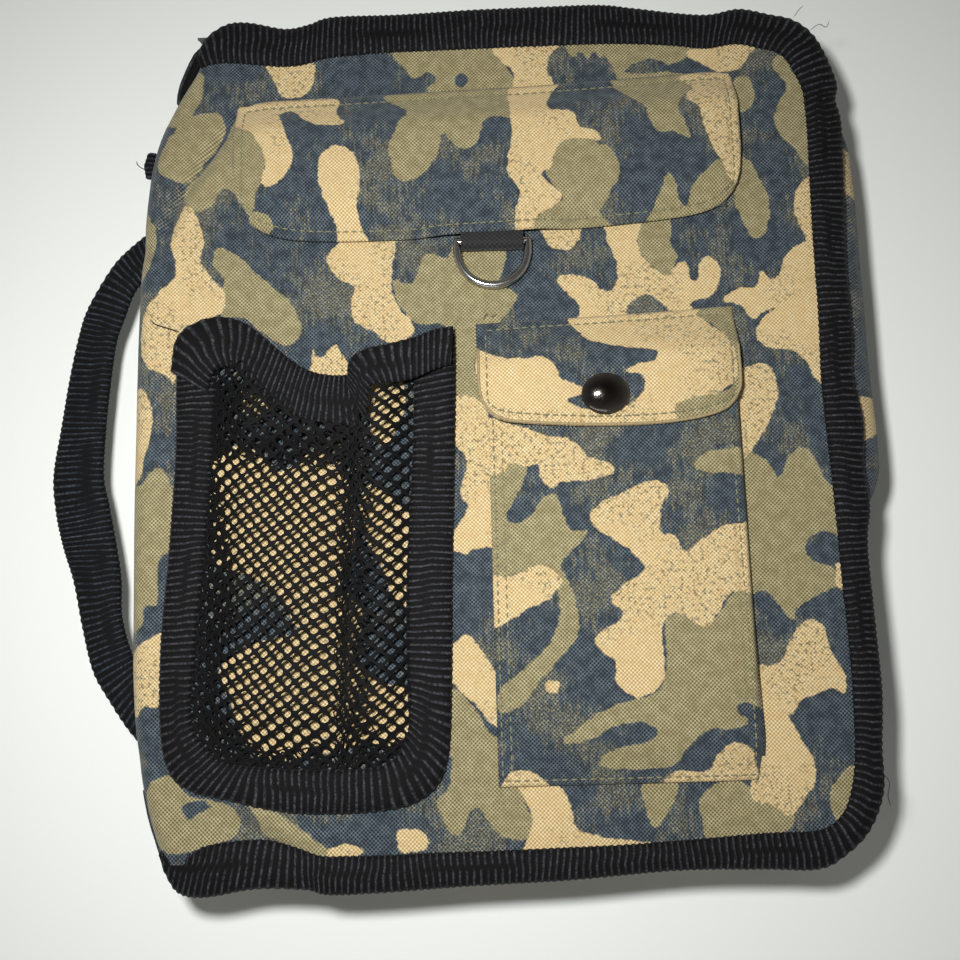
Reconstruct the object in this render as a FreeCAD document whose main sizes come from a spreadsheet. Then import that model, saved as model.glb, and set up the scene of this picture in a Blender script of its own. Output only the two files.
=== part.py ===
"""Zip-round drum stick case, closed and lying on its back.

+X runs from the spine to the opening edge, +Y to the top edge, +Z out of the front cover.
The origin is the centre of the back panel's outer face. Sizes are millimetres.
"""

import FreeCAD, Part
import os
import re

import Sketcher

SIZES = {
    # the closed case
    "case_width": 230,
    "case_height": 284,
    "case_depth": 45,
    "corner_radius": 28,
    "spine_corner": 14,
    # the layers of a panel, counted from its outer face
    "cloth": 1.0,
    "tongue": 0.8,
    "stiffener": 2.6,
    "lining": 0.8,
    # the spine and its two folds
    "fold_inset": 2,
    "fold_offset": 1,
    "panel_start": 4.6,
    "spine_half_length": 130,
    "spine_stiffener_depth": 2,
    "spine_margin": 2.6,
    "spine_lining_margin": 4,
    # the ribbed binding round each panel
    "binding_width": 12,
    "binding_depth": 2.8,
    "binding_start": 98,
    "seam_inset": 4,
    # the cloth wall and the zip that joins its two halves
    "gusset_inset": 5,
    "gusset_cloth": 1.2,
    "gusset_top": 20,
    "tape_cloth": 0.8,
    "tape_start": 15.8,
    "coil_width": 1.4,
    "coil_start": 20.4,
    "zip_gap": 0.6,
    "zip_start": 10.6,
    "end_tab_reach": 1.4,
    # the zip sliders and their pull tabs
    "slider_clearance": 0.4,
    "slider_length": 9,
    "slider_height": 8,
    "slider_depth": 2.4,
    "slider_upper_place": -2,
    "slider_lower_place": -14,
    "bridge_height": 2.4,
    "bridge_opening": 2.4,
    "bridge_wall": 0.8,
    "pull_width": 5,
    "pull_depth": 1.2,
    "pull_length": 20,
    "pull_window": 3.2,
    # the stick sleeve on the back lining
    "sleeve_half_width": 90,
    "sleeve_bottom": -133,
    "sleeve_top": 50,
    "sleeve_room": 13.2,
    "sleeve_cloth": 0.8,
    "sleeve_wall": 1,
    "sleeve_hem_width": 8,
    "sleeve_hem_depth": 1.2,
    # the carrying handle
    "handle_width": 16,
    "handle_depth": 3,
    "handle_radius": 132,
    "handle_reach": 22,
    "handle_middle": -17.5,
    "handle_height": 22.3,
    "handle_end_gap": 1.6,
    "anchor_cloth": 1,
    "anchor_length": 22,
    "anchor_height": 17,
    "anchor_upper": 57,
    "anchor_lower": -92,
    # the wide pocket across the top
    "top_flap_left": -84,
    "top_flap_right": 82,
    "top_flap_bottom": 60,
    "top_flap_fold": 108,
    "top_flap_corner": 14,
    "top_pocket_left": -78,
    "top_pocket_right": 77,
    "top_pocket_bottom": 67,
    "top_pocket_top": 103,
    "top_pocket_room": 4.4,
    "top_pocket_cloth": 0.6,
    "strip_depth": 0.8,
    "strip_width": 16,
    "strip_bottom": 71,
    "strip_end": 14,
    "flap_cloth": 1,
    "flap_clearance": 0.3,
    "flap_fold_gap": 0.4,
    "seam_foot": 5,
    "seam_cloth": 1.2,
    # the D-ring and its webbing tab
    "tab_middle": 0,
    "tab_half_width": 10,
    "tab_bottom": 53.4,
    "tab_top": 65.6,
    "tab_cloth": 1.2,
    "ring_clearance": 0.3,
    "ring_bar": 56.2,
    "ring_wire": 1.35,
    "ring_radius": 11.35,
    "ring_leg": 3,
    "ring_droop": 5,
    # the tall pocket closed by a snap
    "snap_pocket_left": -2.5,
    "snap_pocket_right": 76,
    "snap_pocket_bottom": -113,
    "snap_pocket_top": 26,
    "snap_pocket_room": 5,
    "snap_pocket_cloth": 1,
    "snap_gap": 2,
    "snap_flap_left": -5.5,
    "snap_flap_right": 76.5,
    "snap_flap_bottom": -5.5,
    "snap_flap_fold": 32,
    "snap_flap_corner": 9,
    "snap_across": 33.4,
    "snap_along": 3.4,
    "cap_radius": 7.5,
    "cap_height": 2.5,
    "shank_radius": 1.5,
    "shank_clearance": 0.05,
    "socket_radius": 4.5,
    "socket_bore": 2.8,
    "socket_height": 1.4,
    "socket_roof": 0.4,
    "stud_radius": 5,
    "stud_flange": 0.3,
    "stud_post_radius": 2,
    "stud_post_top": 1.4,
    # the mesh pocket
    "mesh_left": -103,
    "mesh_right": -14,
    "mesh_bottom": -120,
    "mesh_top": 26,
    "mesh_binding_width": 12,
    "mesh_binding_depth": 2.6,
    "mesh_room": 10,
    "mesh_cloth": 0.8,
    "mouth_top": 14,
    "mouth_depth": 3.6,
    "mouth_drop": 1.4,
    "mouth_hem": 2,
}

document = FreeCAD.newDocument("drum_stick_case")
sheet = document.addObject("Spreadsheet::Sheet", "Sizes")
for row, (alias, size) in enumerate(SIZES.items(), start=1):
    sheet.set(f"A{row}", alias.replace("_", " "))
    sheet.set(f"B{row}", str(size))
    sheet.setAlias(f"B{row}", alias)
document.recompute()

# Formulas that several sub-parts share, in terms of the sheet.
PANEL_LEFT = "(panel_start - case_width / 2)"
HALF_HEIGHT = "(case_height / 2)"
TONGUE_TOP = "(cloth + tongue)"
FOAM_TOP = "(cloth + tongue + stiffener)"
LINING_TOP = "(cloth + tongue + stiffener + lining)"
FRONT = "case_depth"
ZIP_LEVEL = "(case_depth / 2 - zip_gap / 2)"
TAPE_INSET = "(gusset_inset + gusset_cloth)"
TAPE_INNER = "(gusset_inset + gusset_cloth + tape_cloth)"
COIL_OUTER = "(gusset_inset + gusset_cloth - coil_width)"
SLIDER_INNER = f"(case_width / 2 - {COIL_OUTER} + slider_clearance)"
SLIDER_OUTER = f"({SLIDER_INNER} + slider_depth)"
PULL_AXIS = f"({SLIDER_OUTER} + bridge_opening / 2)"
TOP_POCKET_FACE = "(case_depth + top_pocket_room + top_pocket_cloth)"
TOP_FLAP_UNDER = f"({TOP_POCKET_FACE} + 2 * strip_depth + flap_clearance)"
TOP_FLAP_OVER = f"({TOP_FLAP_UNDER} + flap_cloth)"
SNAP_FACE = "(case_depth + snap_pocket_room + snap_pocket_cloth)"
SNAP_FLAP_UNDER = f"({SNAP_FACE} + snap_gap)"
SNAP_FLAP_OVER = f"({SNAP_FLAP_UNDER} + flap_cloth)"
RING_HEIGHT = "(case_depth + tab_cloth + ring_clearance + ring_wire)"
NET_UNDER = "(case_depth + mesh_room)"
NET_OVER = "(case_depth + mesh_room + mesh_cloth)"
NET_LEFT = "(mesh_left + mesh_binding_width)"
NET_RIGHT = "(mesh_right - mesh_binding_width)"
NET_BOTTOM = "(mesh_bottom + mesh_binding_width)"
HANDLE_CENTRE = "(handle_radius - case_width / 2 - anchor_cloth - handle_end_gap - handle_reach)"

subparts = []


def bound(text):
    """The formula with every alias pointed at the sheet."""
    word = re.compile(r"[a-z][a-z_]*")

    def pointed(found):
        name = found.group(0)
        return "Sizes." + name if name in SIZES else name

    return word.sub(pointed, text)


def kept(solid, label):
    """Names a finished sub-part and puts it on the list to write."""
    solid.Label = label
    subparts.append(solid)
    return solid


def place(solid, across, along, up):
    """Ties the solid's position to the sheet."""
    solid.setExpression("Placement.Base.x", bound(across))
    solid.setExpression("Placement.Base.y", bound(along))
    solid.setExpression("Placement.Base.z", bound(up))


def box(name, across, along, up):
    """A block between two formulas on each axis."""
    block = document.addObject("Part::Box", name)
    block.setExpression("Length", bound(f"({across[1]}) - ({across[0]})"))
    block.setExpression("Width", bound(f"({along[1]}) - ({along[0]})"))
    block.setExpression("Height", bound(f"({up[1]}) - ({up[0]})"))
    place(block, across[0], along[0], up[0])
    return block


def cylinder(name, radius, height, base, direction=(0, 0, 1)):
    """A cylinder from base along a direction."""
    rod = document.addObject("Part::Cylinder", name)
    rod.Placement.Rotation = FreeCAD.Rotation(FreeCAD.Vector(0, 0, 1), FreeCAD.Vector(*direction))
    rod.setExpression("Radius", bound(radius))
    rod.setExpression("Height", bound(height))
    place(rod, *base)
    return rod


def cut(name, base, tool):
    result = document.addObject("Part::Cut", name)
    result.Base = base
    result.Tool = tool
    return result


def common(name, base, tool):
    result = document.addObject("Part::Common", name)
    result.Base = base
    result.Tool = tool
    return result


def fuse(name, solids):
    result = document.addObject("Part::MultiFuse", name)
    result.Shapes = solids
    result.Refine = True
    return result


def group(name, solids):
    """Separate solids that share one sub-part."""
    result = document.addObject("Part::Compound", name)
    result.Links = solids
    return result


def origin_plane(body, role):
    return next(plane for plane in body.Origin.OriginFeatures if plane.Role == role)


def polygon(body, name, corners, height, role="XY_Plane"):
    """A closed sketch at a height above an origin plane, each corner tied to the sheet."""
    sketch = body.newObject("Sketcher::SketchObject", name)
    sketch.AttachmentSupport = (origin_plane(body, role), "")
    sketch.MapMode = "FlatFace"
    sketch.setExpression("AttachmentOffset.Base.z", bound(height))
    count = len(corners)
    start = [FreeCAD.Vector(1, 0, 0) * 50 for _ in corners]
    for index in range(count):
        turn = FreeCAD.Rotation(FreeCAD.Vector(0, 0, 1), -360.0 * index / count)
        start[index] = turn.multVec(start[index])
    for index in range(count):
        sketch.addGeometry(Part.LineSegment(start[index], start[(index + 1) % count]))
    for index in range(count):
        sketch.addConstraint(Sketcher.Constraint("Coincident", index, 2, (index + 1) % count, 1))
    for index, (across, along) in enumerate(corners):
        x, y = start[index].x, start[index].y
        for kind, formula, here in (("DistanceX", across, x), ("DistanceY", along, y)):
            number = sketch.addConstraint(Sketcher.Constraint(kind, -1, 1, index, 1, here))
            sketch.setExpression(f"Constraints[{number}]", bound(formula))
    return sketch


def corner_edges(feature, sketch, indexes):
    """The names of the upright edges that stand on the given sketch corners."""
    names = []
    for number, edge in enumerate(feature.Shape.Edges, start=1):
        ends = [vertex.Point for vertex in edge.Vertexes]
        if len(ends) != 2:
            continue
        for index in indexes:
            spot = sketch.Placement.multVec(sketch.Geometry[index].StartPoint)
            along = (ends[1] - ends[0]).normalize()
            normal = sketch.Placement.Rotation.multVec(FreeCAD.Vector(0, 0, 1))
            above = all(abs((end - spot).cross(normal).Length) < 1e-4 for end in ends)
            if above and abs(abs(along.dot(normal)) - 1) < 1e-6:
                names.append(f"Edge{number}")
    return names


def pad(body, name, corners, up, rounded=(), role="XY_Plane"):
    """Pads a polygon between two heights and rounds the listed corners."""
    low, high = up
    sketch = polygon(body, name + "_outline", corners, low, role)
    feature = body.newObject("PartDesign::Pad", name + "_pad")
    feature.Profile = sketch
    feature.setExpression("Length", bound(f"({high}) - ({low})"))
    document.recompute()
    for number, (indexes, radius) in enumerate(rounded):
        edges = corner_edges(feature, sketch, indexes)
        fillet = body.newObject("PartDesign::Fillet", f"{name}_round_{number}")
        fillet.Base = (feature, edges)
        fillet.setExpression("Radius", bound(radius))
        document.recompute()
        feature = fillet
    body.Tip = feature
    return feature


def new_body(label):
    body = document.addObject("PartDesign::Body", label)
    return kept(body, label)


def levels(half, low, high):
    """Heights counted from the outer face of the back or of the front."""
    if half == "back":
        return low, high
    return f"({FRONT} - ({high}))", f"({FRONT} - ({low}))"


def sheet_corners(inset):
    """A panel's outline, inset at the top, right and bottom: two spine corners, two outer ones."""
    right = f"(case_width / 2 - ({inset}))"
    top = f"({HALF_HEIGHT} - ({inset}))"
    return [(PANEL_LEFT, top), (right, top), (right, f"-{top}"), (PANEL_LEFT, f"-{top}")]


def strip_corners(left, outer, inner):
    """A C-shaped strip between two insets, open towards the spine."""
    far = [f"(case_width / 2 - ({inset}))" for inset in (outer, inner)]
    top = [f"({HALF_HEIGHT} - ({inset}))" for inset in (outer, inner)]
    return [
        (left, top[0]), (far[0], top[0]), (far[0], f"-{top[0]}"), (left, f"-{top[0]}"),
        (left, f"-{top[1]}"), (far[1], f"-{top[1]}"), (far[1], top[1]), (left, top[1]),
    ]  # fmt: skip


def strip(label, left, outer, inner, up):
    """A C-shaped strip as a body of its own."""
    body = document.addObject("PartDesign::Body", label)
    rounded = (((1, 2), f"corner_radius - ({outer})"), ((5, 6), f"corner_radius - ({inner})"))
    pad(body, label, strip_corners(left, outer, inner), up, rounded)
    return body


def layer(body, name, inset, up):
    """One rectangular layer of a panel with its rounded corners."""
    rounded = [((1, 2), f"corner_radius - ({inset})"), ((0, 3), "spine_corner")]
    return pad(body, name, sheet_corners(inset), up, rounded)


def panel(half):
    """The outer cloth: a face inside the binding and a thin tongue that runs into its groove."""
    body = new_body(f"{half}_panel")
    layer(body, f"{half}_face", "binding_width", levels(half, "0", "cloth"))
    layer(body, f"{half}_tongue", "seam_inset", levels(half, "cloth", TONGUE_TOP))


def stiffener(half):
    body = new_body(f"{half}_stiffener")
    layer(body, f"{half}_foam", "binding_width", levels(half, TONGUE_TOP, FOAM_TOP))


def lining(half):
    body = new_body(f"{half}_lining")
    layer(body, f"{half}_inner", f"{TAPE_INNER} + 0.4", levels(half, FOAM_TOP, LINING_TOP))


def binding(half):
    """The folded tape: a C-shaped strip with a groove for the cloth's tongue."""
    tape = strip(f"{half}_tape", "-binding_start", "0", "binding_width", levels(half, "0", "binding_depth"))
    groove_up = levels(half, "cloth", TONGUE_TOP)
    groove = strip(f"{half}_groove", "(-binding_start - 1)", "seam_inset", "binding_width + 1", groove_up)
    kept(cut(f"{half}_folded_tape", tape, groove), f"{half}_binding")


def gusset_and_zip(half):
    """The cloth wall, the zip tape inside it, the coil along the tape's edge and the tape's end tabs."""
    zip_left = "(zip_start - case_width / 2)"
    rings = (
        ("gusset", PANEL_LEFT, "gusset_inset", TAPE_INSET, "binding_depth", "gusset_top"),
        ("zip_tape", zip_left, TAPE_INSET, TAPE_INNER, "tape_start", ZIP_LEVEL),
        ("zip_coil", zip_left, COIL_OUTER, TAPE_INSET, "coil_start", ZIP_LEVEL),
    )
    for name, left, outer, inner, low, high in rings:
        kept(strip(f"{half}_{name}", left, outer, inner, levels(half, low, high)), f"{half}_{name}")
    reach = (f"({HALF_HEIGHT} - {TAPE_INNER} - end_tab_reach)", f"({HALF_HEIGHT} - {COIL_OUTER})")
    low_reach = (f"-{reach[1]}", f"-{reach[0]}")
    across = (PANEL_LEFT, zip_left)
    up = levels(half, "coil_start", ZIP_LEVEL)
    tabs = [box(f"{half}_tab_top", across, reach, up), box(f"{half}_tab_bottom", across, low_reach, up)]
    kept(group(f"{half}_zip_tabs", tabs), f"{half}_zip_end_tabs")


def sleeve():
    """Four open-topped channels on the back lining, and the hem along their mouth."""
    width = ("-sleeve_half_width", "sleeve_half_width")
    under = f"({LINING_TOP} + sleeve_room)"
    face = (under, f"({under} + sleeve_cloth)")
    height = ("sleeve_bottom", "sleeve_top")
    room = (LINING_TOP, under)
    walls = [box("sleeve_face", width, height, face)]
    walls.append(box("sleeve_floor", width, ("sleeve_bottom", "sleeve_bottom + sleeve_wall"), room))
    for number in range(5):
        left = f"(-sleeve_half_width + {number} * (2 * sleeve_half_width - sleeve_wall) / 4)"
        walls.append(box(f"sleeve_wall_{number}", (left, f"{left} + sleeve_wall"), height, room))
    kept(fuse("sleeve_walls", walls), "stick_sleeve")
    hem_up = (f"({under} + sleeve_cloth)", f"({under} + sleeve_cloth + sleeve_hem_depth)")
    kept(box("hem", width, ("sleeve_top - sleeve_hem_width", "sleeve_top"), hem_up), "sleeve_hem")


def spine():
    """Cloth, stiffener and lining between the two folds, and the handle's sewn ends."""
    length = ("-spine_half_length", "spine_half_length")
    outer = "(-case_width / 2)"
    board = f"({outer} + fold_offset)"
    inner = f"({board} + spine_stiffener_depth)"
    up = ("spine_margin", "case_depth - spine_margin")
    lining_up = ("spine_lining_margin", "case_depth - spine_lining_margin")
    kept(box("spine_cloth", (outer, board), length, up), "spine_panel")
    kept(box("spine_board", (board, inner), length, up), "spine_stiffener")
    kept(box("spine_inside", (inner, f"{inner} + lining"), length, lining_up), "spine_lining")
    across = (f"({outer} - anchor_cloth)", outer)
    anchor_up = ("handle_height - anchor_height / 2", "handle_height + anchor_height / 2")
    ends = []
    for name, middle in (("upper", "anchor_upper"), ("lower", "anchor_lower")):
        along = (f"{middle} - anchor_length / 2", f"{middle} + anchor_length / 2")
        ends.append(box(f"anchor_{name}", across, along, anchor_up))
    kept(group("anchors", ends), "handle_anchors")


def handle():
    """A flat arc of webbing: the part of a ring that lies outside the spine."""
    base = (HANDLE_CENTRE, "handle_middle", "handle_height - handle_depth / 2")
    disc = cylinder("handle_outer", "handle_radius + handle_width / 2", "handle_depth", base)
    hole = cylinder("handle_inner", "handle_radius - handle_width / 2", "handle_depth", base)
    ring = cut("handle_ring", disc, hole)
    end = "(-case_width / 2 - anchor_cloth - handle_end_gap)"
    along = ("handle_middle - handle_radius", "handle_middle + handle_radius")
    outside = box("handle_side", (f"{end} - handle_radius", end), along, ("0", "case_depth"))
    kept(common("handle_arc", ring, outside), "handle_strap")


def slider(name, place_along, side):
    """A block across both coils with a small bridge, and the pull tab whose bar hangs in the bridge.

    The tab lies along the zip towards +Y when side is 1 and towards -Y when it is -1.
    """
    middle = "(case_depth / 2)"
    half_length = "slider_length / 2"
    along = (f"{place_along} - {half_length}", f"{place_along} + {half_length}")
    up = (f"{middle} - slider_height / 2", f"{middle} + slider_height / 2")
    block = box(f"{name}_block", (SLIDER_INNER, SLIDER_OUTER), along, up)
    bridge_up = (f"{middle} - bridge_height / 2", f"{middle} + bridge_height / 2")
    reach = "(bridge_opening / 2 + bridge_wall)"
    opening = f"({SLIDER_OUTER} + bridge_opening)"
    arch = box(
        f"{name}_arch", (SLIDER_OUTER, f"{opening} + bridge_wall"),
        (f"{place_along} - {reach}", f"{place_along} + {reach}"), bridge_up,
    )  # fmt: skip
    eye = box(
        f"{name}_eye", (SLIDER_OUTER, opening),
        (f"{place_along} - bridge_opening / 2", f"{place_along} + bridge_opening / 2"), bridge_up,
    )  # fmt: skip
    bridge = cut(f"{name}_bridge", arch, eye)
    kept(fuse(f"{name}_body", [block, bridge]), name)

    across = (f"{PULL_AXIS} - pull_depth / 2", f"{PULL_AXIS} + pull_depth / 2")
    bar = f"({place_along} - {side} * pull_depth / 2)"
    tip = f"({bar} + {side} * pull_length)"
    window_near = f"({bar} + {side} * pull_depth)"
    window_far = f"({window_near} + {side} * pull_window)"
    plate_along = (bar, tip) if side > 0 else (tip, bar)
    window_along = (window_near, window_far) if side > 0 else (window_far, window_near)
    width = (f"{middle} - pull_width / 2", f"{middle} + pull_width / 2")
    plate = box(f"{name}_plate", across, plate_along, width)
    window_up = (f"{middle} - pull_window / 2", f"{middle} + pull_window / 2")
    window = box(f"{name}_window", across, window_along, window_up)
    kept(cut(f"{name}_tab", plate, window), f"{name}_pull")


def sewn_edge(label, left, right, fold, over):
    """A flap's fixed upper edge: a foot sewn to the cover and a web up to the fold."""
    body = new_body(label)
    corners = [
        (fold, FRONT), (fold, over), (f"{fold} + seam_cloth", over),
        (f"{fold} + seam_cloth", f"{FRONT} + seam_cloth"),
        (f"{fold} + seam_foot", f"{FRONT} + seam_cloth"), (f"{fold} + seam_foot", FRONT),
    ]  # fmt: skip
    pad(body, label, corners, (left, right), (), "YZ_Plane")


def flap(label, left, right, bottom, fold, corner, up):
    """A flat flap with two rounded lower corners, hinged just below its fold."""
    body = new_body(label)
    top = f"({fold} - flap_fold_gap)"
    corners = [(left, top), (right, top), (right, bottom), (left, bottom)]
    pad(body, label, corners, up, (((2, 3), corner),))
    return body


def top_pocket():
    """A shallow pocket under the wide flap, with hook and loop strips."""
    inner = "(case_depth + top_pocket_room)"
    width = ("top_pocket_left", "top_pocket_right")
    height = ("top_pocket_bottom", "top_pocket_top")
    shell = box("top_pocket_block", width, height, (FRONT, TOP_POCKET_FACE))
    room = box(
        "top_pocket_inside",
        ("top_pocket_left + top_pocket_cloth", "top_pocket_right - top_pocket_cloth"),
        ("top_pocket_bottom + top_pocket_cloth", "top_pocket_top + 1"), (FRONT, inner),
    )  # fmt: skip
    kept(cut("top_pocket_tray", shell, room), "top_pocket")
    across = ("top_pocket_left + strip_end", "top_pocket_right - strip_end")
    along = ("strip_bottom", "strip_bottom + strip_width")
    loop_up = (TOP_POCKET_FACE, f"{TOP_POCKET_FACE} + strip_depth")
    hook_up = (f"{TOP_FLAP_UNDER} - strip_depth", TOP_FLAP_UNDER)
    kept(box("loop", across, along, loop_up), "top_pocket_loop_strip")
    kept(box("hook", across, along, hook_up), "top_flap_hook_strip")
    sewn_edge("top_flap_seam", "top_flap_left", "top_flap_right", "top_flap_fold", TOP_FLAP_OVER)
    flap(
        "top_flap", "top_flap_left", "top_flap_right", "top_flap_bottom", "top_flap_fold",
        "top_flap_corner", (TOP_FLAP_UNDER, TOP_FLAP_OVER),
    )  # fmt: skip


def ring_and_tab():
    """The webbing tab folded round the straight bar of the D-ring."""
    width = ("tab_middle - tab_half_width", "tab_middle + tab_half_width")
    knuckle_top = f"({RING_HEIGHT} + ring_wire + ring_clearance + tab_cloth)"
    knuckle_end = "(ring_bar + ring_wire + ring_clearance + tab_cloth)"
    knuckle = box("tab_knuckle", width, ("tab_bottom", knuckle_end), (FRONT, knuckle_top))
    tail = box("tab_tail", width, (knuckle_end, "tab_top"), (FRONT, f"{FRONT} + 2 * tab_cloth"))
    tab = fuse("tab_solid", [knuckle, tail])
    bore_base = ("tab_middle - tab_half_width", "ring_bar", RING_HEIGHT)
    bore = cylinder("tab_bore", "ring_wire + ring_clearance", "2 * tab_half_width", bore_base, (1, 0, 0))
    kept(cut("tab_webbing", tab, bore), "d_ring_tab")

    bow = document.addObject("Part::Torus", "ring_bow")
    bow.setExpression("Radius1", bound("ring_radius"))
    bow.setExpression("Radius2", bound("ring_wire"))
    bow.Angle3 = 180
    bow.Placement.Rotation = FreeCAD.Rotation(FreeCAD.Vector(0, 0, 1), 180)
    place(bow, "0", "-ring_leg", "0")
    left_end = ("-ring_radius", "0", "0")
    bar = cylinder("ring_crossbar", "ring_wire", "2 * ring_radius", left_end, (1, 0, 0))
    pieces = [bow, bar]
    for side, across in (("left", "-ring_radius"), ("right", "ring_radius")):
        pieces.append(cylinder(f"ring_leg_{side}", "ring_wire", "ring_leg", (across, "0", "0"), (0, -1, 0)))
        corner = document.addObject("Part::Sphere", f"ring_corner_{side}")
        corner.setExpression("Radius", bound("ring_wire"))
        place(corner, across, "0", "0")
        pieces.append(corner)
    ring = fuse("ring_wire_loop", pieces)
    ring.Placement.Rotation = FreeCAD.Rotation(FreeCAD.Vector(1, 0, 0), SIZES["ring_droop"])
    place(ring, "tab_middle", "ring_bar", RING_HEIGHT)
    kept(ring, "d_ring")


def snap_pocket():
    """The tall pocket: its face, its folded sides and floor, the flap and the four pieces of the snap."""
    inner = "(case_depth + snap_pocket_room)"
    width = ("snap_pocket_left", "snap_pocket_right")
    height = ("snap_pocket_bottom", "snap_pocket_top")
    kept(box("snap_face", width, height, (inner, SNAP_FACE)), "snap_pocket_front")
    body = new_body("snap_pocket_gusset")
    inset = "snap_pocket_cloth"
    corners = [
        ("snap_pocket_left", "snap_pocket_top"), ("snap_pocket_left", "snap_pocket_bottom"),
        ("snap_pocket_right", "snap_pocket_bottom"), ("snap_pocket_right", "snap_pocket_top"),
        (f"snap_pocket_right - {inset}", "snap_pocket_top"),
        (f"snap_pocket_right - {inset}", f"snap_pocket_bottom + {inset}"),
        (f"snap_pocket_left + {inset}", f"snap_pocket_bottom + {inset}"),
        (f"snap_pocket_left + {inset}", "snap_pocket_top"),
    ]  # fmt: skip
    pad(body, "snap_side", corners, (FRONT, inner))
    sewn_edge("snap_flap_seam", "snap_flap_left", "snap_flap_right", "snap_flap_fold", SNAP_FLAP_OVER)

    # the flap, with the hole that the cap's shank fills
    leaf = flap(
        "snap_flap", "snap_flap_left", "snap_flap_right", "snap_flap_bottom", "snap_flap_fold",
        "snap_flap_corner", (SNAP_FLAP_UNDER, SNAP_FLAP_OVER),
    )  # fmt: skip
    subparts.remove(leaf)
    spot = ("snap_across", "snap_along")
    hole_base = (*spot, SNAP_FLAP_UNDER)
    hole = cylinder("flap_hole", "shank_radius + shank_clearance", "flap_cloth", hole_base)
    leaf.Label = "snap_flap_blank"
    kept(cut("snap_flap_leaf", leaf, hole), "snap_flap")

    # the domed cap and its shank
    dome_radius = "((cap_radius * cap_radius + cap_height * cap_height) / (2 * cap_height))"
    ball = document.addObject("Part::Sphere", "cap_ball")
    ball.setExpression("Radius", bound(dome_radius))
    place(ball, *spot, f"{SNAP_FLAP_OVER} + cap_height - {dome_radius}")
    rim = cylinder("cap_rim", "cap_radius", "cap_height", (*spot, SNAP_FLAP_OVER))
    dome = common("cap_dome", ball, rim)
    shank = cylinder("cap_shank", "shank_radius", "flap_cloth", hole_base)
    kept(fuse("cap_solid", [dome, shank]), "snap_cap")

    # the socket below the flap
    socket_base = (*spot, f"{SNAP_FLAP_UNDER} - socket_height")
    drum = cylinder("socket_drum", "socket_radius", "socket_height", socket_base)
    bore = cylinder("socket_bore_tool", "socket_bore", "socket_height - socket_roof", socket_base)
    kept(cut("socket_ring", drum, bore), "snap_socket")

    # the stud on the pocket's face
    flange = cylinder("stud_disc", "stud_radius", "stud_flange", (*spot, SNAP_FACE))
    post = cylinder("stud_post", "stud_post_radius", "stud_post_top", (*spot, SNAP_FACE))
    kept(fuse("stud_solid", [flange, post]), "snap_stud")


def mesh_pocket():
    """The net pocket: a tray of net, the tape sewn round it and the tape over its mouth."""
    across = (NET_LEFT, NET_RIGHT)
    block = box("net_block", across, (NET_BOTTOM, "mouth_top - mouth_hem"), (FRONT, NET_OVER))
    room = box(
        "net_inside", (f"{NET_LEFT} + mesh_cloth", f"{NET_RIGHT} - mesh_cloth"),
        (f"{NET_BOTTOM} + mesh_cloth", "mouth_top + 1"), (FRONT, NET_UNDER),
    )  # fmt: skip
    kept(cut("net_tray", block, room), "mesh_net")

    body = new_body("mesh_pocket_binding")
    corners = [
        ("mesh_left", "mesh_top"), ("mesh_left", "mesh_bottom"),
        ("mesh_right", "mesh_bottom"), ("mesh_right", "mesh_top"),
        (NET_RIGHT, "mesh_top"), (NET_RIGHT, NET_BOTTOM),
        (NET_LEFT, NET_BOTTOM), (NET_LEFT, "mesh_top"),
    ]  # fmt: skip
    tape_up = (FRONT, f"{FRONT} + mesh_binding_depth")
    pad(body, "mesh_tape", corners, tape_up, (((1, 2), "mesh_binding_width / 2"),))

    hem_along = ("mouth_top - mesh_binding_width", "mouth_top")
    hem_up = (f"{NET_UNDER} - mouth_drop", f"{NET_UNDER} - mouth_drop + mouth_depth")
    bar = box("mouth_bar", across, hem_along, hem_up)
    slot_along = ("mouth_top - mesh_binding_width", "mouth_top - mouth_hem")
    slot = box("mouth_slot", across, slot_along, (NET_UNDER, NET_OVER))
    ends = box("mouth_ends", across, slot_along, (hem_up[0], NET_UNDER))
    clear = box(
        "mouth_clear", (f"{NET_LEFT} + mesh_cloth", f"{NET_RIGHT} - mesh_cloth"), slot_along,
        (hem_up[0], NET_UNDER),
    )  # fmt: skip
    side_notches = cut("mouth_notches", ends, clear)
    kept(cut("mouth_tape", cut("mouth_slotted", bar, slot), side_notches), "mesh_mouth_binding")


for side in ("back", "front"):
    panel(side)
    stiffener(side)
    lining(side)
    binding(side)
    gusset_and_zip(side)
sleeve()
spine()
handle()
slider("slider_upper", "slider_upper_place", 1)
slider("slider_lower", "slider_lower_place", -1)
top_pocket()
ring_and_tab()
snap_pocket()
mesh_pocket()
document.recompute()

for item in document.Objects:
    if "Invalid" in item.State or "Error" in item.State:
        raise RuntimeError(f"{item.Label} failed: {item.State}")
for item in subparts:
    if item.Shape.isNull() or not item.Shape.isValid() or not item.Shape.Solids:
        raise RuntimeError(f"{item.Label} has no valid solid")

os.makedirs("parts", exist_ok=True)
for item in subparts:
    item.Shape.exportStep(f"parts/{item.Label}.step")
print(len(subparts), "sub-parts written")
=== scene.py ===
"""The looks of the drum stick bag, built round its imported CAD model. Lengths are in mm until MM."""

import math
import random

import bmesh
import bpy
import numpy as np
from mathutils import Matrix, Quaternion, Vector


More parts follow.
